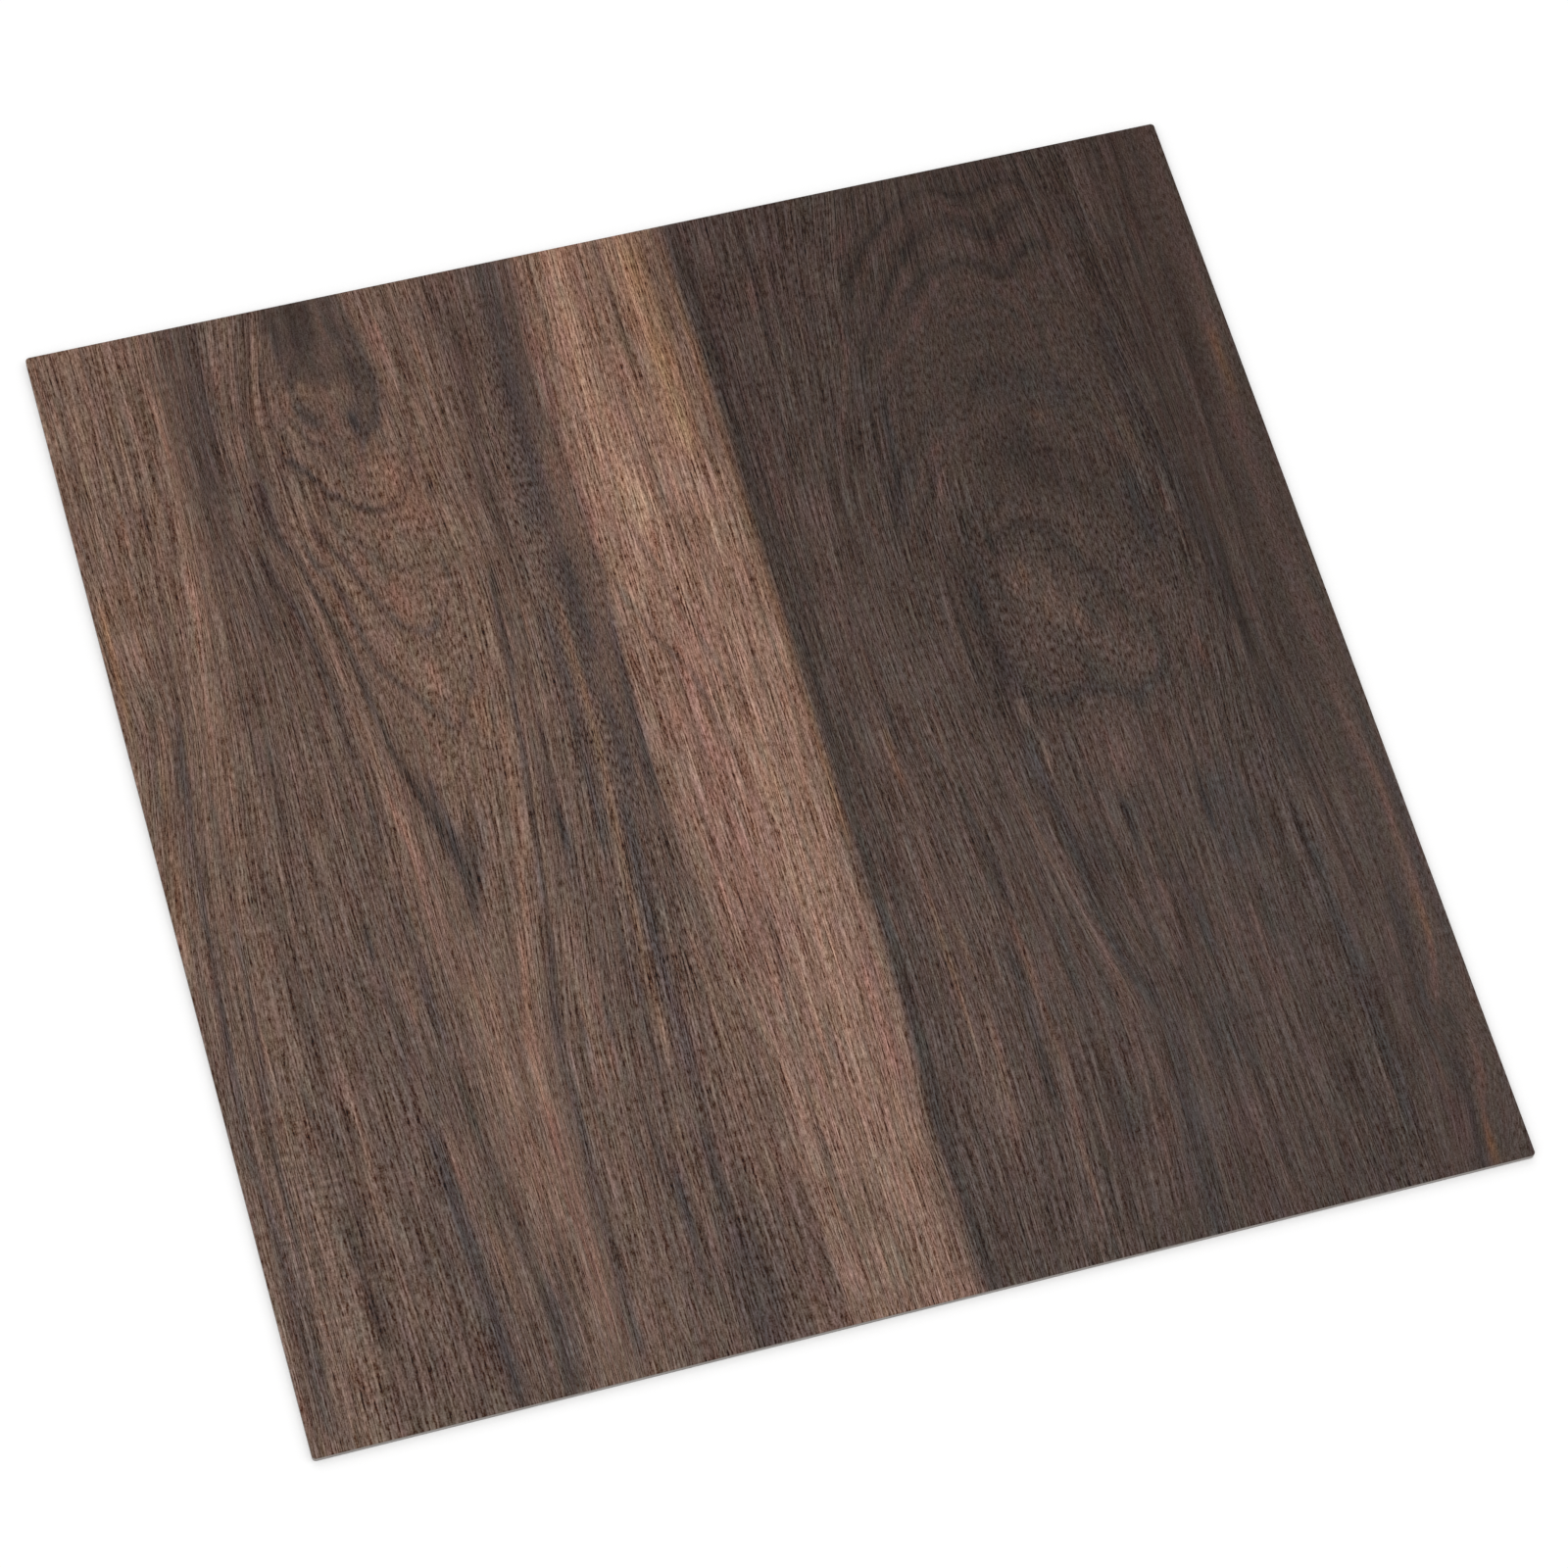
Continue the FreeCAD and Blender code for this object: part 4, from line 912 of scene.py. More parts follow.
def figure(x, y):
    """What the print shows at each point: the marks that the material reads."""
    line = grain_line(x, y)
    tone, red, gold = shades(x, y, line)
    ring = ring_value(x, y)
    rise_x = ring_value(x + RING_STEP, y) - ring
    rise_y = ring_value(x, y + RING_STEP) - ring
    grain = np.ones_like(x)
    for change, patches in GRAIN_CHANGES:
        grain += change * patch_weight(x, y, patches)
    figured = patch_weight(x, y, FIGURED_GRAIN)
    return {
        "line": line,
        "ring": ring,
        "ring_width": np.minimum(RING_STEP / np.hypot(rise_x, rise_y), WIDEST_RING),
        "lined": patch_weight(x, y, LINED_WOOD),
        "tone": tone,
        "red": red,
        "gold": gold,
        "short": patch_weight(x, y, SHORT_GRAIN),
        "figured": LEAST_FIGURED + (1 - LEAST_FIGURED) * figured,
        "ripple": patch_weight(x, y, RIPPLED_GRAIN),
        "grain": grain,
    }


def edge_to_edge(half, inner):
    """Mesh lines across the top, closer together at both edges where the corners are round."""
    near = -half + np.array(EDGE_LINES)
    return np.r_[near, inner, -near[::-1]]


def even_lines(start, end, spacing):
    """Evenly spread lines strictly between two places."""
    steps = max(1, round((end - start) / spacing))
    return np.linspace(start, end, steps + 1)[1:-1]


def round_corners(x, y, half_x, half_y, radius):
    """Pulls the points of a rectangle's grid into the same rectangle with round corners."""
    reach_x = np.clip((np.abs(x) - (half_x - radius)) / radius, 0, 1)
    reach_y = np.clip((np.abs(y) - (half_y - radius)) / radius, 0, 1)
    drop_x = reach_x * (1 - np.sqrt(1 - reach_y ** 2 / 2)) * radius
    drop_y = reach_y * (1 - np.sqrt(1 - reach_x ** 2 / 2)) * radius
    return x - np.sign(x) * drop_x, y - np.sign(y) * drop_y


def top_grid():
    """The places of the top's mesh points, as two arrays of rows by columns."""
    half_x = HALF_WIDTH - ARRIS_RADIUS
    half_y = HALF_LENGTH - ARRIS_RADIUS
    margin = EDGE_LINES[-1]
    columns = edge_to_edge(half_x, even_lines(margin - half_x, half_x - margin, COLUMN_SPACING))
    coarse = even_lines(margin - half_y, FINE_ROWS_FROM, COARSE_ROW_SPACING)
    fine = even_lines(FINE_ROWS_FROM, half_y - margin, FINE_ROW_SPACING)
    rows = edge_to_edge(half_y, np.r_[coarse, FINE_ROWS_FROM, fine])
    x, y = np.meshgrid(columns, rows)
    return round_corners(x, y, half_x, half_y, CORNER_RADIUS - ARRIS_RADIUS)


def edge_rings(x, y):
    """Rings of points that carry the top's rim over the arris and down the cut edge."""
    core_x = np.clip(x, CORNER_RADIUS - HALF_WIDTH, HALF_WIDTH - CORNER_RADIUS)
    core_y = np.clip(y, CORNER_RADIUS - HALF_LENGTH, HALF_LENGTH - CORNER_RADIUS)
    reach = np.hypot(x - core_x, y - core_y)
    out_x = (x - core_x) / reach
    out_y = (y - core_y) / reach
    levels = []
    for step in range(1, ARRIS_STEPS + 1):
        turn = math.pi / 2 * step / ARRIS_STEPS
        drop = ARRIS_RADIUS * (1 - math.cos(turn))
        levels.append((ARRIS_RADIUS * math.sin(turn), THICKNESS - drop))
    levels.append((ARRIS_RADIUS, 0.0))
    rings = []
    for spread, height in levels:
        ring = [x + out_x * spread, y + out_y * spread, np.full_like(x, height)]
        rings.append(np.column_stack(ring))
    return rings


def rim_of(numbers):
    """The numbers round the rim of a grid of numbered points, counterclockwise from the lower left."""
    front = numbers[0, :-1]
    right = numbers[:-1, -1]
    far = numbers[-1, :0:-1]
    left = numbers[:0:-1, 0]
    return np.concatenate([front, right, far, left])


def faces_within(numbers):
    """The faces between a grid of numbered points."""
    corners = [numbers[:-1, :-1], numbers[:-1, 1:], numbers[1:, 1:], numbers[1:, :-1]]
    return np.stack(corners, -1).reshape(-1, 4)


def strips_between(inner, outer):
    """Faces that join one closed ring of points to the next."""
    return np.column_stack([inner, outer, np.roll(outer, -1), np.roll(inner, -1)])


def close_up(top, quads, rim):
    """Adds arris, cut edge and back to the top: all points, all quads and the back's one face."""
    points = [top]
    faces = [quads]
    inner = rim
    count = len(top)
    for ring in edge_rings(*top[rim, :2].T):
        outer = count + np.arange(len(rim))
        points.append(ring)
        faces.append(strips_between(inner, outer))
        inner = outer
        count += len(rim)
    return np.vstack(points), np.vstack(faces), inner[::-1]


def emboss(line, x, y):
    """How deep the pressed grain is at each point of the top, in millimetres: none near the edges."""
    waves = add_waves(0, line, y, EMBOSS_WAVES)
    depth = EMBOSS_DEPTH * np.clip(EMBOSS_MIDDLE + EMBOSS_SWING * waves, 0, 1)
    to_side = HALF_WIDTH - np.abs(x)
    to_end = HALF_LENGTH - np.abs(y)
    fade = np.clip((np.minimum(to_side, to_end) - ARRIS_RADIUS) / EMBOSS_MARGIN, 0, 1)
    return depth * fade


def store_marks(mesh, marks, rim):
    """Stores each mark at the mesh's points under its name. Points below the rim repeat the rim's."""
    for name, values in marks.items():
        layer = mesh.attributes.new(name, "FLOAT", "POINT")
        below = np.tile(values[rim], ARRIS_STEPS + 1)
        layer.data.foreach_set("value", np.r_[values, below].astype(np.float32))


def set_materials(mesh, first_cut_face):
    """Puts the print on the top and the arris, bare vinyl on the cut edge, and grey on the back."""
    for material in (printed_top(), cut_edge(), plain_back()):
        mesh.materials.append(material)
    slots = np.zeros(len(mesh.polygons), int)
    slots[first_cut_face:] = 1
    slots[-1] = 2
    mesh.polygons.foreach_set("material_index", slots)


def lay_out_uv(mesh, first_edge_face):
    """Gives the printed top nearly the whole texture, with the cut edge and the back in its margins."""
    places = np.empty(len(mesh.vertices) * 3)
    mesh.vertices.foreach_get("co", places)
    places = places.reshape(-1, 3) / MM
    corners = np.empty(len(mesh.loops), int)
    mesh.loops.foreach_get("vertex_index", corners)
    x, y, z = places[corners].T
    across = (x + HALF_WIDTH) / (2 * HALF_WIDTH)
    along = (y + HALF_LENGTH) / (2 * HALF_LENGTH)
    uv = np.column_stack([across, along]) * TOP_SHARE
    owner = np.repeat(np.arange(len(mesh.polygons)), [p.loop_total for p in mesh.polygons])
    centre_x = np.bincount(owner, x) / np.bincount(owner)
    centre_y = np.bincount(owner, y) / np.bincount(owner)
    beyond_side = np.abs(centre_x) - HALF_WIDTH
    beyond_end = np.abs(centre_y) - HALF_LENGTH
    on_end = (beyond_end > beyond_side)[owner]
    positive = np.where(on_end, centre_y[owner], centre_x[owner]) > 0
    strip = np.where(on_end, 0, 2) + positive
    rise = (z / THICKNESS + strip * STRIP_PITCH) * STRIP_HEIGHT
    run = np.where(on_end, across, along) * TOP_SHARE
    on_back = owner == len(mesh.polygons) - 1
    on_edge = (owner >= first_edge_face) & ~on_back
    uv[on_edge] = np.column_stack([run, TOP_SHARE + STRIP_MARGIN + rise])[on_edge]
    back = np.column_stack([across, along]) * BACK_SHARE
    uv[on_back] = (back + (1 - BACK_SHARE - STRIP_MARGIN, STRIP_MARGIN))[on_back]
    layer = mesh.uv_layers.new(name="OFBake")
    layer.data.foreach_set("uv", uv.ravel().astype(np.float32))


def make_tile():
    """The tile as one closed mesh: printed top, arris, cut edge and back."""
    x, y = top_grid()
    numbers = np.arange(x.size).reshape(x.shape)
    rim = rim_of(numbers)
    x = x.ravel()
    y = y.ravel()
    marks = figure(x, y)
    top = np.column_stack([x, y, THICKNESS - emboss(marks["line"], x, y)])
    top_quads = faces_within(numbers)
    points, quads, back = close_up(top, top_quads, rim)
    mesh = bpy.data.meshes.new(NODE + "_printed")
    mesh.from_pydata((points * MM).tolist(), [], quads.tolist() + [back.tolist()])
    mesh.polygons.foreach_set("use_smooth", [True] * len(quads) + [False])
    store_marks(mesh, marks, rim)
    set_materials(mesh, len(top_quads) + ARRIS_STEPS * len(rim))
    lay_out_uv(mesh, len(top_quads))
    mesh.update()
    tile = bpy.data.objects.new("tile_printed", mesh)
    bpy.context.scene.collection.objects.link(tile)
    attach(tile, "root")
    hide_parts(NODE)


# Noise nodes: how far one seed moves the noise, the settings of the print's noise, and the ranges that
# hold most values of that noise and of a plain cloud.
SEED_STEP = (37.3, 61.7)
PRINT_NOISE = {"Scale": 1.0, "Detail": 1.0, "Roughness": 0.5}
PRINT_NOISE_RANGE = (0.25, 0.75)
CLOUD_RANGE = (0.3, 0.7)


def srgb(red, green, blue):
    """A screen colour of 0 to 255 as the linear colour that a shader takes, by the standard curve."""
    shares = [value / 255 for value in (red, green, blue)]
    linear = [s / 12.92 if s <= 0.04045 else ((s + 0.055) / 1.055) ** 2.4 for s in shares]
    return (*linear, 1.0)


class Nodes:
    """The node tree of one material, with a short call for each kind of node in use."""

    def __init__(self, name):
        self.material = bpy.data.materials.new(name)
        self.material.use_nodes = True
        self.tree = self.material.node_tree
        self.shader = self.tree.nodes["Principled BSDF"]

    def add(self, kind, inputs, **settings):
        """Adds a node with its settings, and fills its inputs with numbers or with other outputs."""
        node = self.tree.nodes.new(kind)
        for name, value in settings.items():
            setattr(node, name, value)
        for key, value in inputs.items():
            self.fill(node.inputs[key], value)
        return node

    def fill(self, socket, value):
        """Links a socket to an output, or sets it to a plain value."""
        if isinstance(value, bpy.types.NodeSocket):
            self.tree.links.new(value, socket)
        else:
            socket.default_value = value

    def math(self, operation, *values):
        """The result of one operation on numbers or outputs."""
        return self.add("ShaderNodeMath", dict(enumerate(values)), operation=operation).outputs[0]

    def times(self, first, second):
        """Two values multiplied."""
        return self.math("MULTIPLY", first, second)

    def total(self, *values):
        """All the values added up."""
        result = values[0]
        for value in values[1:]:
            result = self.math("ADD", result, value)
        return result

    def weighted(self, values, shares):
        """Some values added up, each in its share."""
        return self.total(*[self.times(*pair) for pair in zip(values, shares)])

    def stored(self, name):
        """A number that the mesh stores at its points."""
        return self.add("ShaderNodeAttribute", {}, attribute_name=name).outputs["Fac"]

    def place(self):
        """Where each point lies, in millimetres: to the right, along the grain and up."""
        metres = self.add("ShaderNodeTexCoord", {}).outputs["Object"]
        parts = self.add("ShaderNodeSeparateXYZ", {"Vector": metres}).outputs
        return [self.times(part, 1 / MM) for part in parts]

    def noise(self, across, along, shape):
        """Noise of about -1 to 1. Its shape is patches for each unit across and along, and a seed."""
        per_across, per_along, seed = shape
        stretched = {
            "X": self.times(across, per_across),
            "Y": self.times(along, per_along),
        }
        place = self.add("ShaderNodeCombineXYZ", stretched).outputs[0]
        moved = {0: place, 1: (seed * SEED_STEP[0], seed * SEED_STEP[1], 0.0)}
        moved = self.add("ShaderNodeVectorMath", moved, operation="ADD").outputs[0]
        inputs = {"Vector": moved, **PRINT_NOISE}
        cloud = self.add("ShaderNodeTexNoise", inputs, noise_dimensions="2D").outputs["Fac"]
        return self.remap(cloud, PRINT_NOISE_RANGE, (-1.0, 1.0), clamp=False)

    def cloud(self, scale, detail):
        """Noise from 0 to 1 with so many patches from side to side of the tile, and so much detail."""
        inputs = {"Scale": scale, "Detail": detail}
        return self.add("ShaderNodeTexNoise", inputs).outputs["Fac"]

    def remap(self, value, source, target, clamp=True):
        """Maps one range of numbers to another."""
        inputs = {"Value": value, "From Min": source[0], "From Max": source[1]}
        inputs.update({"To Min": target[0], "To Max": target[1]})
        return self.add("ShaderNodeMapRange", inputs, clamp=clamp).outputs["Result"]

    def mix(self, share, first, second):
        """A blend of two numbers."""
        inputs = {"Factor": share, "A": first, "B": second}
        return self.add("ShaderNodeMix", inputs, data_type="FLOAT").outputs["Result"]

    def ramp(self, value, stops):
        """A colour ramp through (place, screen colour) stops."""
        node = self.add("ShaderNodeValToRGB", {"Fac": value})
        elements = node.color_ramp.elements
        while len(elements) < len(stops):
            elements.new(1.0)
        for element, (place, colour) in zip(elements, stops):
            element.position = place
            element.color = srgb(*colour)
        return node.outputs["Color"]

    def bump(self, height, distance, strength=1.0):
        """Feeds a height, in shares of a distance in metres, to the shader's normal."""
        inputs = {"Height": height, "Distance": distance, "Strength": strength}
        node = self.add("ShaderNodeBump", inputs)
        self.fill(self.shader.inputs["Normal"], node.outputs["Normal"])

    def finish(self, colour, roughness, specular):
        """Sets the shader's colour, roughness and specular level."""
        self.fill(self.shader.inputs["Base Color"], colour)
        self.fill(self.shader.inputs["Roughness"], roughness)
        self.shader.inputs["Specular IOR Level"].default_value = specular
        return self.material


# The print's inks: lightness and screen colour.
INKS = (
    (30, (38, 31, 28)),
    (53, (63, 53, 49)),
    (64, (74, 63, 58)),
    (73, (84, 70, 64)),
    (88, (105, 85, 75)),
    (95, (113, 91, 79)),
    (110, (133, 104, 90)),
    (122, (146, 117, 101)),
    (150, (177, 148, 131)),
)
LIGHTEST_INK = 150

# The wear film's gloss adds an even light of its own, so the ink below it is darker by that much.
GLOSS = 0.12
GLOSS_SHARE = 0.0135
LEAST_UNDER_GLOSS = 0.15

# Noise of the print: patches for each millimetre across the grain and along it, and a seed. RING_DRIFT
# counts patches for each ring value in place of those across, and RIPPLE takes no heed of the grain.
BROAD_SHADE = (0.20, 0.006, 1)
MIDDLE_SHADE = (0.80, 0.016, 2)
RING_DRIFT = (0.22, 0.004, 3)
FIBRES = (2.9, 0.06, 4)
DASHES = (2.8, 0.50, 5)
DOTS = (2.8, 2.5, 6)
RIPPLE = (0.12, 0.75, 7)
REDNESS = (0.42, 0.08, 8)
GOLDNESS = (0.42, 0.08, 9)
RING_DEPTH = (0.06, 0.02, 10)
FLAKES = (1.2, 0.50, 11)
RING_WOBBLE = (0.9, 0.10, 12)

# Growth rings: ring values from one line of late wood to the next, how far drift and fibres shift
# them, how narrow the late wood is and how its depth varies.
RING_PITCH = 2.6
DRIFT_SHIFT = 0.7
FIBRE_SHIFT = 0.10
LATE_WOOD_POWER = 4.0
RING_DEPTHS = (0.2, 1.5)

# Drawn ring lines: how many ring values they wobble, and how many half widths they fade over.
WOBBLE_SHIFT = 0.35
LINE_REACH = 1.6

# How much each slow change makes the print lighter or darker. The middle one has a share for long grain
# and one for short grain.
SLOW_LEVEL = 1.05
BROAD_SHARE = 0.05
MIDDLE_SHARES = (0.24, 0.09)
RING_SHARE = -0.20
RIPPLE_SHARE = 0.16

# Shares of fibres, dashes and flakes in the fine grain, where it is long and where it is short, and the
# share of the dots in both.
LONG_GRAIN_SHARES = (0.56, 0.50, 0.08)
SHORT_GRAIN_SHARES = (0.14, 0.60, 0.14)
DOT_SHARE = 0.28

# How much random red and gold the print has, and how one unit of either changes the red, green and blue
# of an ink.
RED_SPREAD = 2.4
GOLD_SPREAD = 1.7
RED_TINT = (0.020, -0.008, 0.004)
GOLD_TINT = (0.020, 0.003, -0.024)

# How much of the fine print grain each of red, green and blue takes; its pale flecks go greyer as painted
# sheen.
GRAIN_AND_SHEEN_TINT = (0.88, 1.04, 1.15)

# Relief of the fine grain, in metres, how strongly it shows, and the film's roughness over its range.
GRAIN_RELIEF = 0.00003
GRAIN_RELIEF_STRENGTH = 0.6
FLECK_RANGE = (-0.5, 0.5)
FILM_ROUGHNESS = (0.56, 0.44)


def growth_rings(n, y, line, fibres):
    """How much late wood there is at each point, where the wood is figured."""
    ring = n.stored("ring")
    drift = n.noise(ring, y, RING_DRIFT)
    phase = n.weighted((ring, drift, fibres), (1 / RING_PITCH, DRIFT_SHIFT, FIBRE_SHIFT))
    late_wood = n.math("POWER", n.math("FRACT", phase), LATE_WOOD_POWER)
    depth = n.remap(n.noise(line, y, RING_DEPTH), (-1.0, 1.0), RING_DEPTHS)
    return n.times(n.times(late_wood, depth), n.stored("figured"))


def ring_lines(n, y, line):
    """How much the drawn ring lines darken each point, where the wood is lined."""
    wobble = n.times(n.noise(line, y, RING_WOBBLE), WOBBLE_SHIFT)
    ring = n.total(n.stored("ring"), wobble)
    ring_width = n.stored("ring_width")
    marks = []
    for value, half_width, share in RING_LINES:
        away = n.math("ABSOLUTE", n.math("SUBTRACT", ring, float(value)))
        distance = n.times(away, ring_width)
        marks.append(n.remap(distance, (0.0, LINE_REACH * half_width), (share, 0.0)))
    lines = marks[0]
    for mark in marks[1:]:
        lines = n.math("MAXIMUM", lines, mark)
    return n.times(lines, n.stored("lined"))


def slow_change(n, x, y, line, fibres, short):
    """What rings, ripples and broad shades multiply the lightness of the ink by."""
    middle_share = n.remap(short, (0.0, 1.0), MIDDLE_SHARES)
    ripple = n.times(n.noise(x, y, RIPPLE), n.stored("ripple"))
    return n.total(
        n.times(n.noise(line, y, BROAD_SHADE), BROAD_SHARE),
        n.times(n.noise(line, y, MIDDLE_SHADE), middle_share),
        n.times(growth_rings(n, y, line, fibres), RING_SHARE),
        n.times(ring_lines(n, y, line), -1.0),
        n.times(ripple, RIPPLE_SHARE),
        SLOW_LEVEL,
    )


def inked(n, y, line, slow, fine):
    """The ink of each point with its hue, shade, grain and painted sheen, less the light that the gloss
    adds.
    """
    stops = [(level / LIGHTEST_INK, ink) for level, ink in INKS]
    ink = n.ramp(n.math("DIVIDE", n.stored("tone"), LIGHTEST_INK), stops)
    random_red = n.times(n.noise(line, y, REDNESS), RED_SPREAD)
    random_gold = n.times(n.noise(line, y, GOLDNESS), GOLD_SPREAD)
    red = n.total(n.stored("red"), random_red)
    gold = n.total(n.stored("gold"), random_gold)
    parts = n.add("ShaderNodeSeparateColor", {"Color": ink}).outputs
    tinted = []
    # Grain lifts blue most, so the print grain's pale flecks go greyer: painted sheen of the pressed
    # grain.
    for part, red_share, gold_share, grain_and_sheen_share in zip(parts, RED_TINT, GOLD_TINT, GRAIN_AND_SHEEN_TINT):
        hue = n.total(n.weighted((red, gold), (red_share, gold_share)), 1.0)
        change = n.times(slow, n.math("MULTIPLY_ADD", fine, grain_and_sheen_share, 1.0))
        seen = n.times(n.times(part, hue), change)
        least = n.times(seen, LEAST_UNDER_GLOSS)
        tinted.append(n.math("MAXIMUM", n.math("SUBTRACT", seen, GLOSS_SHARE), least))
    return n.add("ShaderNodeCombineColor", dict(enumerate(tinted))).outputs["Color"]


def printed_top():
    """The walnut print under its clear wear film, from the marks stored in the mesh."""
    n = Nodes("walnut_print")
    x, y, _ = n.place()
    line = n.stored("line")
    short = n.stored("short")
    fibres = n.noise(line, y, FIBRES)
    grains = (fibres, n.noise(line, y, DASHES), n.noise(line, y, FLAKES))
    long_grain = n.weighted(grains, LONG_GRAIN_SHARES)
    short_grain = n.weighted(grains, SHORT_GRAIN_SHARES)
    flecks = n.mix(short, long_grain, short_grain)
    dots = n.times(n.noise(line, y, DOTS), DOT_SHARE)
    fine = n.total(n.times(flecks, n.stored("grain")), dots)
    slow = slow_change(n, x, y, line, fibres, short)
    n.bump(fine, GRAIN_RELIEF, GRAIN_RELIEF_STRENGTH)
    roughness = n.remap(flecks, FLECK_RANGE, FILM_ROUGHNESS)
    return n.finish(inked(n, y, line, slow, fine), roughness, GLOSS)


# The cut edge: its layers from back to top as (share of the thickness, screen colour), how far the die
# drags them in millimetres, the scale and detail of drag and grit, how the grit lightens and darkens
# the vinyl, its relief in metres, and the roughness that it gives.
CORE_LAYERS = (
    (0.0, (165, 160, 157)),
    (0.55, (160, 154, 150)),
    (0.74, (150, 143, 138)),
    (0.83, (84, 74, 69)),
    (1.0, (72, 62, 57)),
)
DRAG_HEIGHTS = (-0.08, 0.08)
DRAG_NOISE = (400.0, 2.0)
GRIT_NOISE = (3500.0, 3.0)
GRIT_SHADES = (0.90, 1.08)
GRIT_RELIEF = 0.00005
CORE_ROUGHNESS = (0.72, 0.84)

# The back: the turn of its weave for each millimetre, in radians, the weave's relief in metres, the
# scale and detail of its clouds, and the greys and roughness that they give.
WEAVE_TURN = 5.2
WEAVE_RELIEF = 0.00004
BACK_NOISE = (60.0, 4.0)
BACK_GREYS = ((0.3, (146, 141, 138)), (0.7, (160, 155, 151)))
BACK_ROUGHNESS = (0.66, 0.78)

# Specular level of the bare vinyl, on the cut edge and the back.
VINYL_SPECULAR = 0.3


def cut_edge():
    """The die-cut edge: grey filled vinyl with the dark line of the print film along its top."""
    n = Nodes("vinyl_core")
    _, _, z = n.place()
    grit = n.cloud(*GRIT_NOISE)
    drag = n.cloud(*DRAG_NOISE)
    height = n.total(z, n.remap(drag, CLOUD_RANGE, DRAG_HEIGHTS))
    layers = n.ramp(n.math("DIVIDE", height, THICKNESS), CORE_LAYERS)
    shade = n.remap(grit, CLOUD_RANGE, GRIT_SHADES)
    colour = n.add("ShaderNodeVectorMath", {0: layers, 1: shade}, operation="MULTIPLY").outputs[0]
    n.bump(grit, GRIT_RELIEF)
    return n.finish(colour, n.remap(grit, CLOUD_RANGE, CORE_ROUGHNESS), VINYL_SPECULAR)


def plain_back():
    """The back: flat grey vinyl with the fine weave that the calender leaves."""
    n = Nodes("vinyl_back")
    x, y, _ = n.place()
    rib_x = n.math("SINE", n.times(x, WEAVE_TURN))
    rib_y = n.math("SINE", n.times(y, WEAVE_TURN))
    cloud = n.cloud(*BACK_NOISE)
    n.bump(n.times(rib_x, rib_y), WEAVE_RELIEF)
    roughness = n.remap(cloud, CLOUD_RANGE, BACK_ROUGHNESS)
    return n.finish(n.ramp(cloud, BACK_GREYS), roughness, VINYL_SPECULAR)


# The floor: its side, how far it lies below the tile, its colour, how much it glows near the tile and
# far from it, and where far begins and is reached. All lengths are metres.
FLOOR_SIDE = 8.0
FLOOR_DROP = 0.00005
FLOOR_COLOUR = 0.85
FLOOR_ROUGHNESS = 0.9
FLOOR_GLOW = 0.145
FAR_FLOOR_GLOW = 0.42
FAR_FLOOR = (0.9, 3.0)

# The room's even light, and lamps with name, place, side and power. A surface lit by all of it looks
# about as light as its colour says.
SKY_LIGHT = 0.72
LAMPS = (
    ("key_light", (-1.5, -1.2, 2.6), 2.2, 24.0),
    ("fill_light", (1.9, -0.6, 2.4), 2.2, 12.0),
    ("far_light", (0.1, 2.2, 2.2), 2.0, 11.0),
)
WHITE = (1.0, 1.0, 1.0, 1.0)

# The camera of the photograph, in metres: it looks down past the front edge, slightly from the left. Its
# roll is in degrees, its lens and sensor in millimetres.
CAMERA_PLACE = (-0.23944, -0.54788, 1.18974)
CAMERA_AIM = (0.0030, -0.01056, 0.0)
CAMERA_ROLL = 9.1
CAMERA_LENS = 122.56
CAMERA_SENSOR = 36.0


def seen_directly(nodes, links):
    """1 for rays from the camera, straight or by gloss or glass, and 0 for light on surfaces."""
    path = nodes.new("ShaderNodeLightPath")
    result = path.outputs["Is Camera Ray"]
    for name in ("Is Glossy Ray", "Is Transmission Ray"):
        either = nodes.new("ShaderNodeMath")
        either.operation = "MAXIMUM"
        links.new(result, either.inputs[0])
        links.new(path.outputs[name], either.inputs[1])
        result = either.outputs[0]
    return result


def surround():
    """A white room that gives even light and is seen at full white."""
    world = bpy.data.worlds.new("studio")
    bpy.context.scene.world = world
    world.use_nodes = True
    nodes = world.node_tree.nodes
    links = world.node_tree.links
    strength = nodes.new("ShaderNodeMapRange")
    links.new(seen_directly(nodes, links), strength.inputs["Value"])
    strength.inputs["To Min"].default_value = SKY_LIGHT
    strength.inputs["To Max"].default_value = 1.0
    background = nodes["Background"]
    background.inputs["Color"].default_value = WHITE
    links.new(strength.outputs["Result"], background.inputs["Strength"])


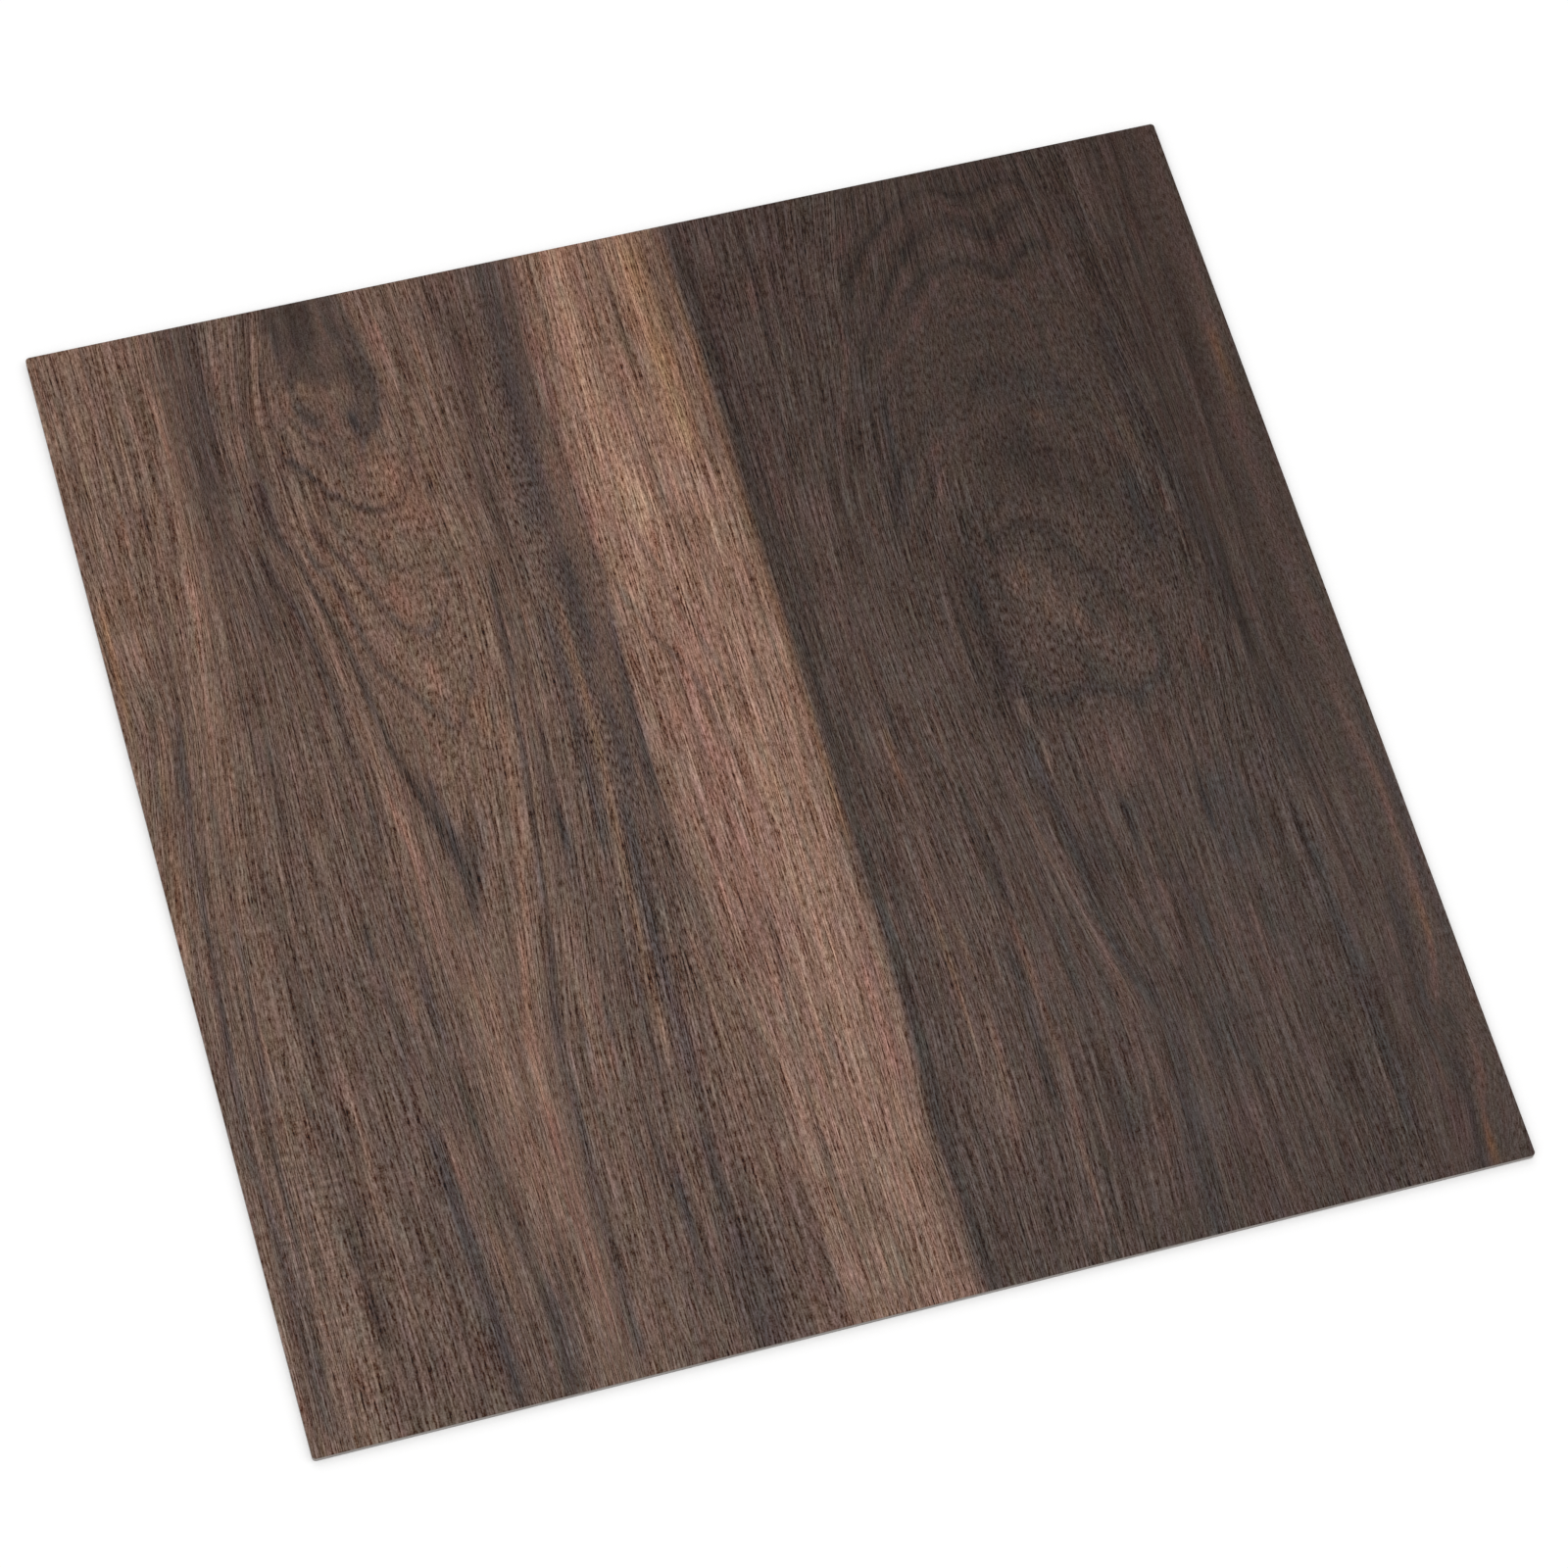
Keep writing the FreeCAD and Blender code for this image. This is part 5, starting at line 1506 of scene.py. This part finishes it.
def hang_lamps():
    """Large soft lamps overhead that face the tile."""
    for name, place, side, power in LAMPS:
        light = bpy.data.lights.new(name, "AREA")
        light.shape = "SQUARE"
        light.size = side
        light.energy = power
        lamp = bpy.data.objects.new(name, light)
        lamp.location = place
        lamp.rotation_euler = (-Vector(place)).to_track_quat("-Z", "Y").to_euler()
        bpy.context.scene.collection.objects.link(lamp)


def pale_floor():
    """Pale and matt, with a glow that only the camera sees, stronger far from the tile."""
    n = Nodes("pale_floor")
    metres = n.add("ShaderNodeTexCoord", {}).outputs["Object"]
    away = n.add("ShaderNodeVectorMath", {0: metres}, operation="LENGTH").outputs["Value"]
    level = n.remap(away, FAR_FLOOR, (FLOOR_GLOW, FAR_FLOOR_GLOW))
    glow = n.times(seen_directly(n.tree.nodes, n.tree.links), level)
    n.shader.inputs["Emission Color"].default_value = WHITE
    n.fill(n.shader.inputs["Emission Strength"], glow)
    return n.finish((FLOOR_COLOUR, FLOOR_COLOUR, FLOOR_COLOUR, 1.0), FLOOR_ROUGHNESS, 0.0)


def lay_floor():
    """A floor that fades into the white room and keeps the tile's soft shadow."""
    half = FLOOR_SIDE / 2
    corners = [(-half, -half, 0), (half, -half, 0), (half, half, 0), (-half, half, 0)]
    mesh = bpy.data.meshes.new("floor")
    mesh.from_pydata(corners, [], [(0, 1, 2, 3)])
    mesh.materials.append(pale_floor())
    floor = bpy.data.objects.new("floor", mesh)
    floor.location = (0, 0, LOW_CORNER.z - FLOOR_DROP)
    bpy.context.scene.collection.objects.link(floor)


def place_camera():
    """The camera at the photograph's viewing angle."""
    camera = bpy.data.cameras.new("camera")
    camera.lens = CAMERA_LENS
    camera.sensor_width = CAMERA_SENSOR
    holder = bpy.data.objects.new("camera", camera)
    place = Vector(CAMERA_PLACE)
    level = (Vector(CAMERA_AIM) - place).to_track_quat("-Z", "Y")
    roll = Quaternion((0, 0, 1), math.radians(CAMERA_ROLL))
    holder.location = place
    holder.rotation_mode = "QUATERNION"
    holder.rotation_quaternion = level @ roll
    bpy.context.scene.collection.objects.link(holder)
    bpy.context.scene.camera = holder


make_tile()
lay_floor()
surround()
hang_lamps()
place_camera()
bpy.context.scene.view_settings.view_transform = "Standard"
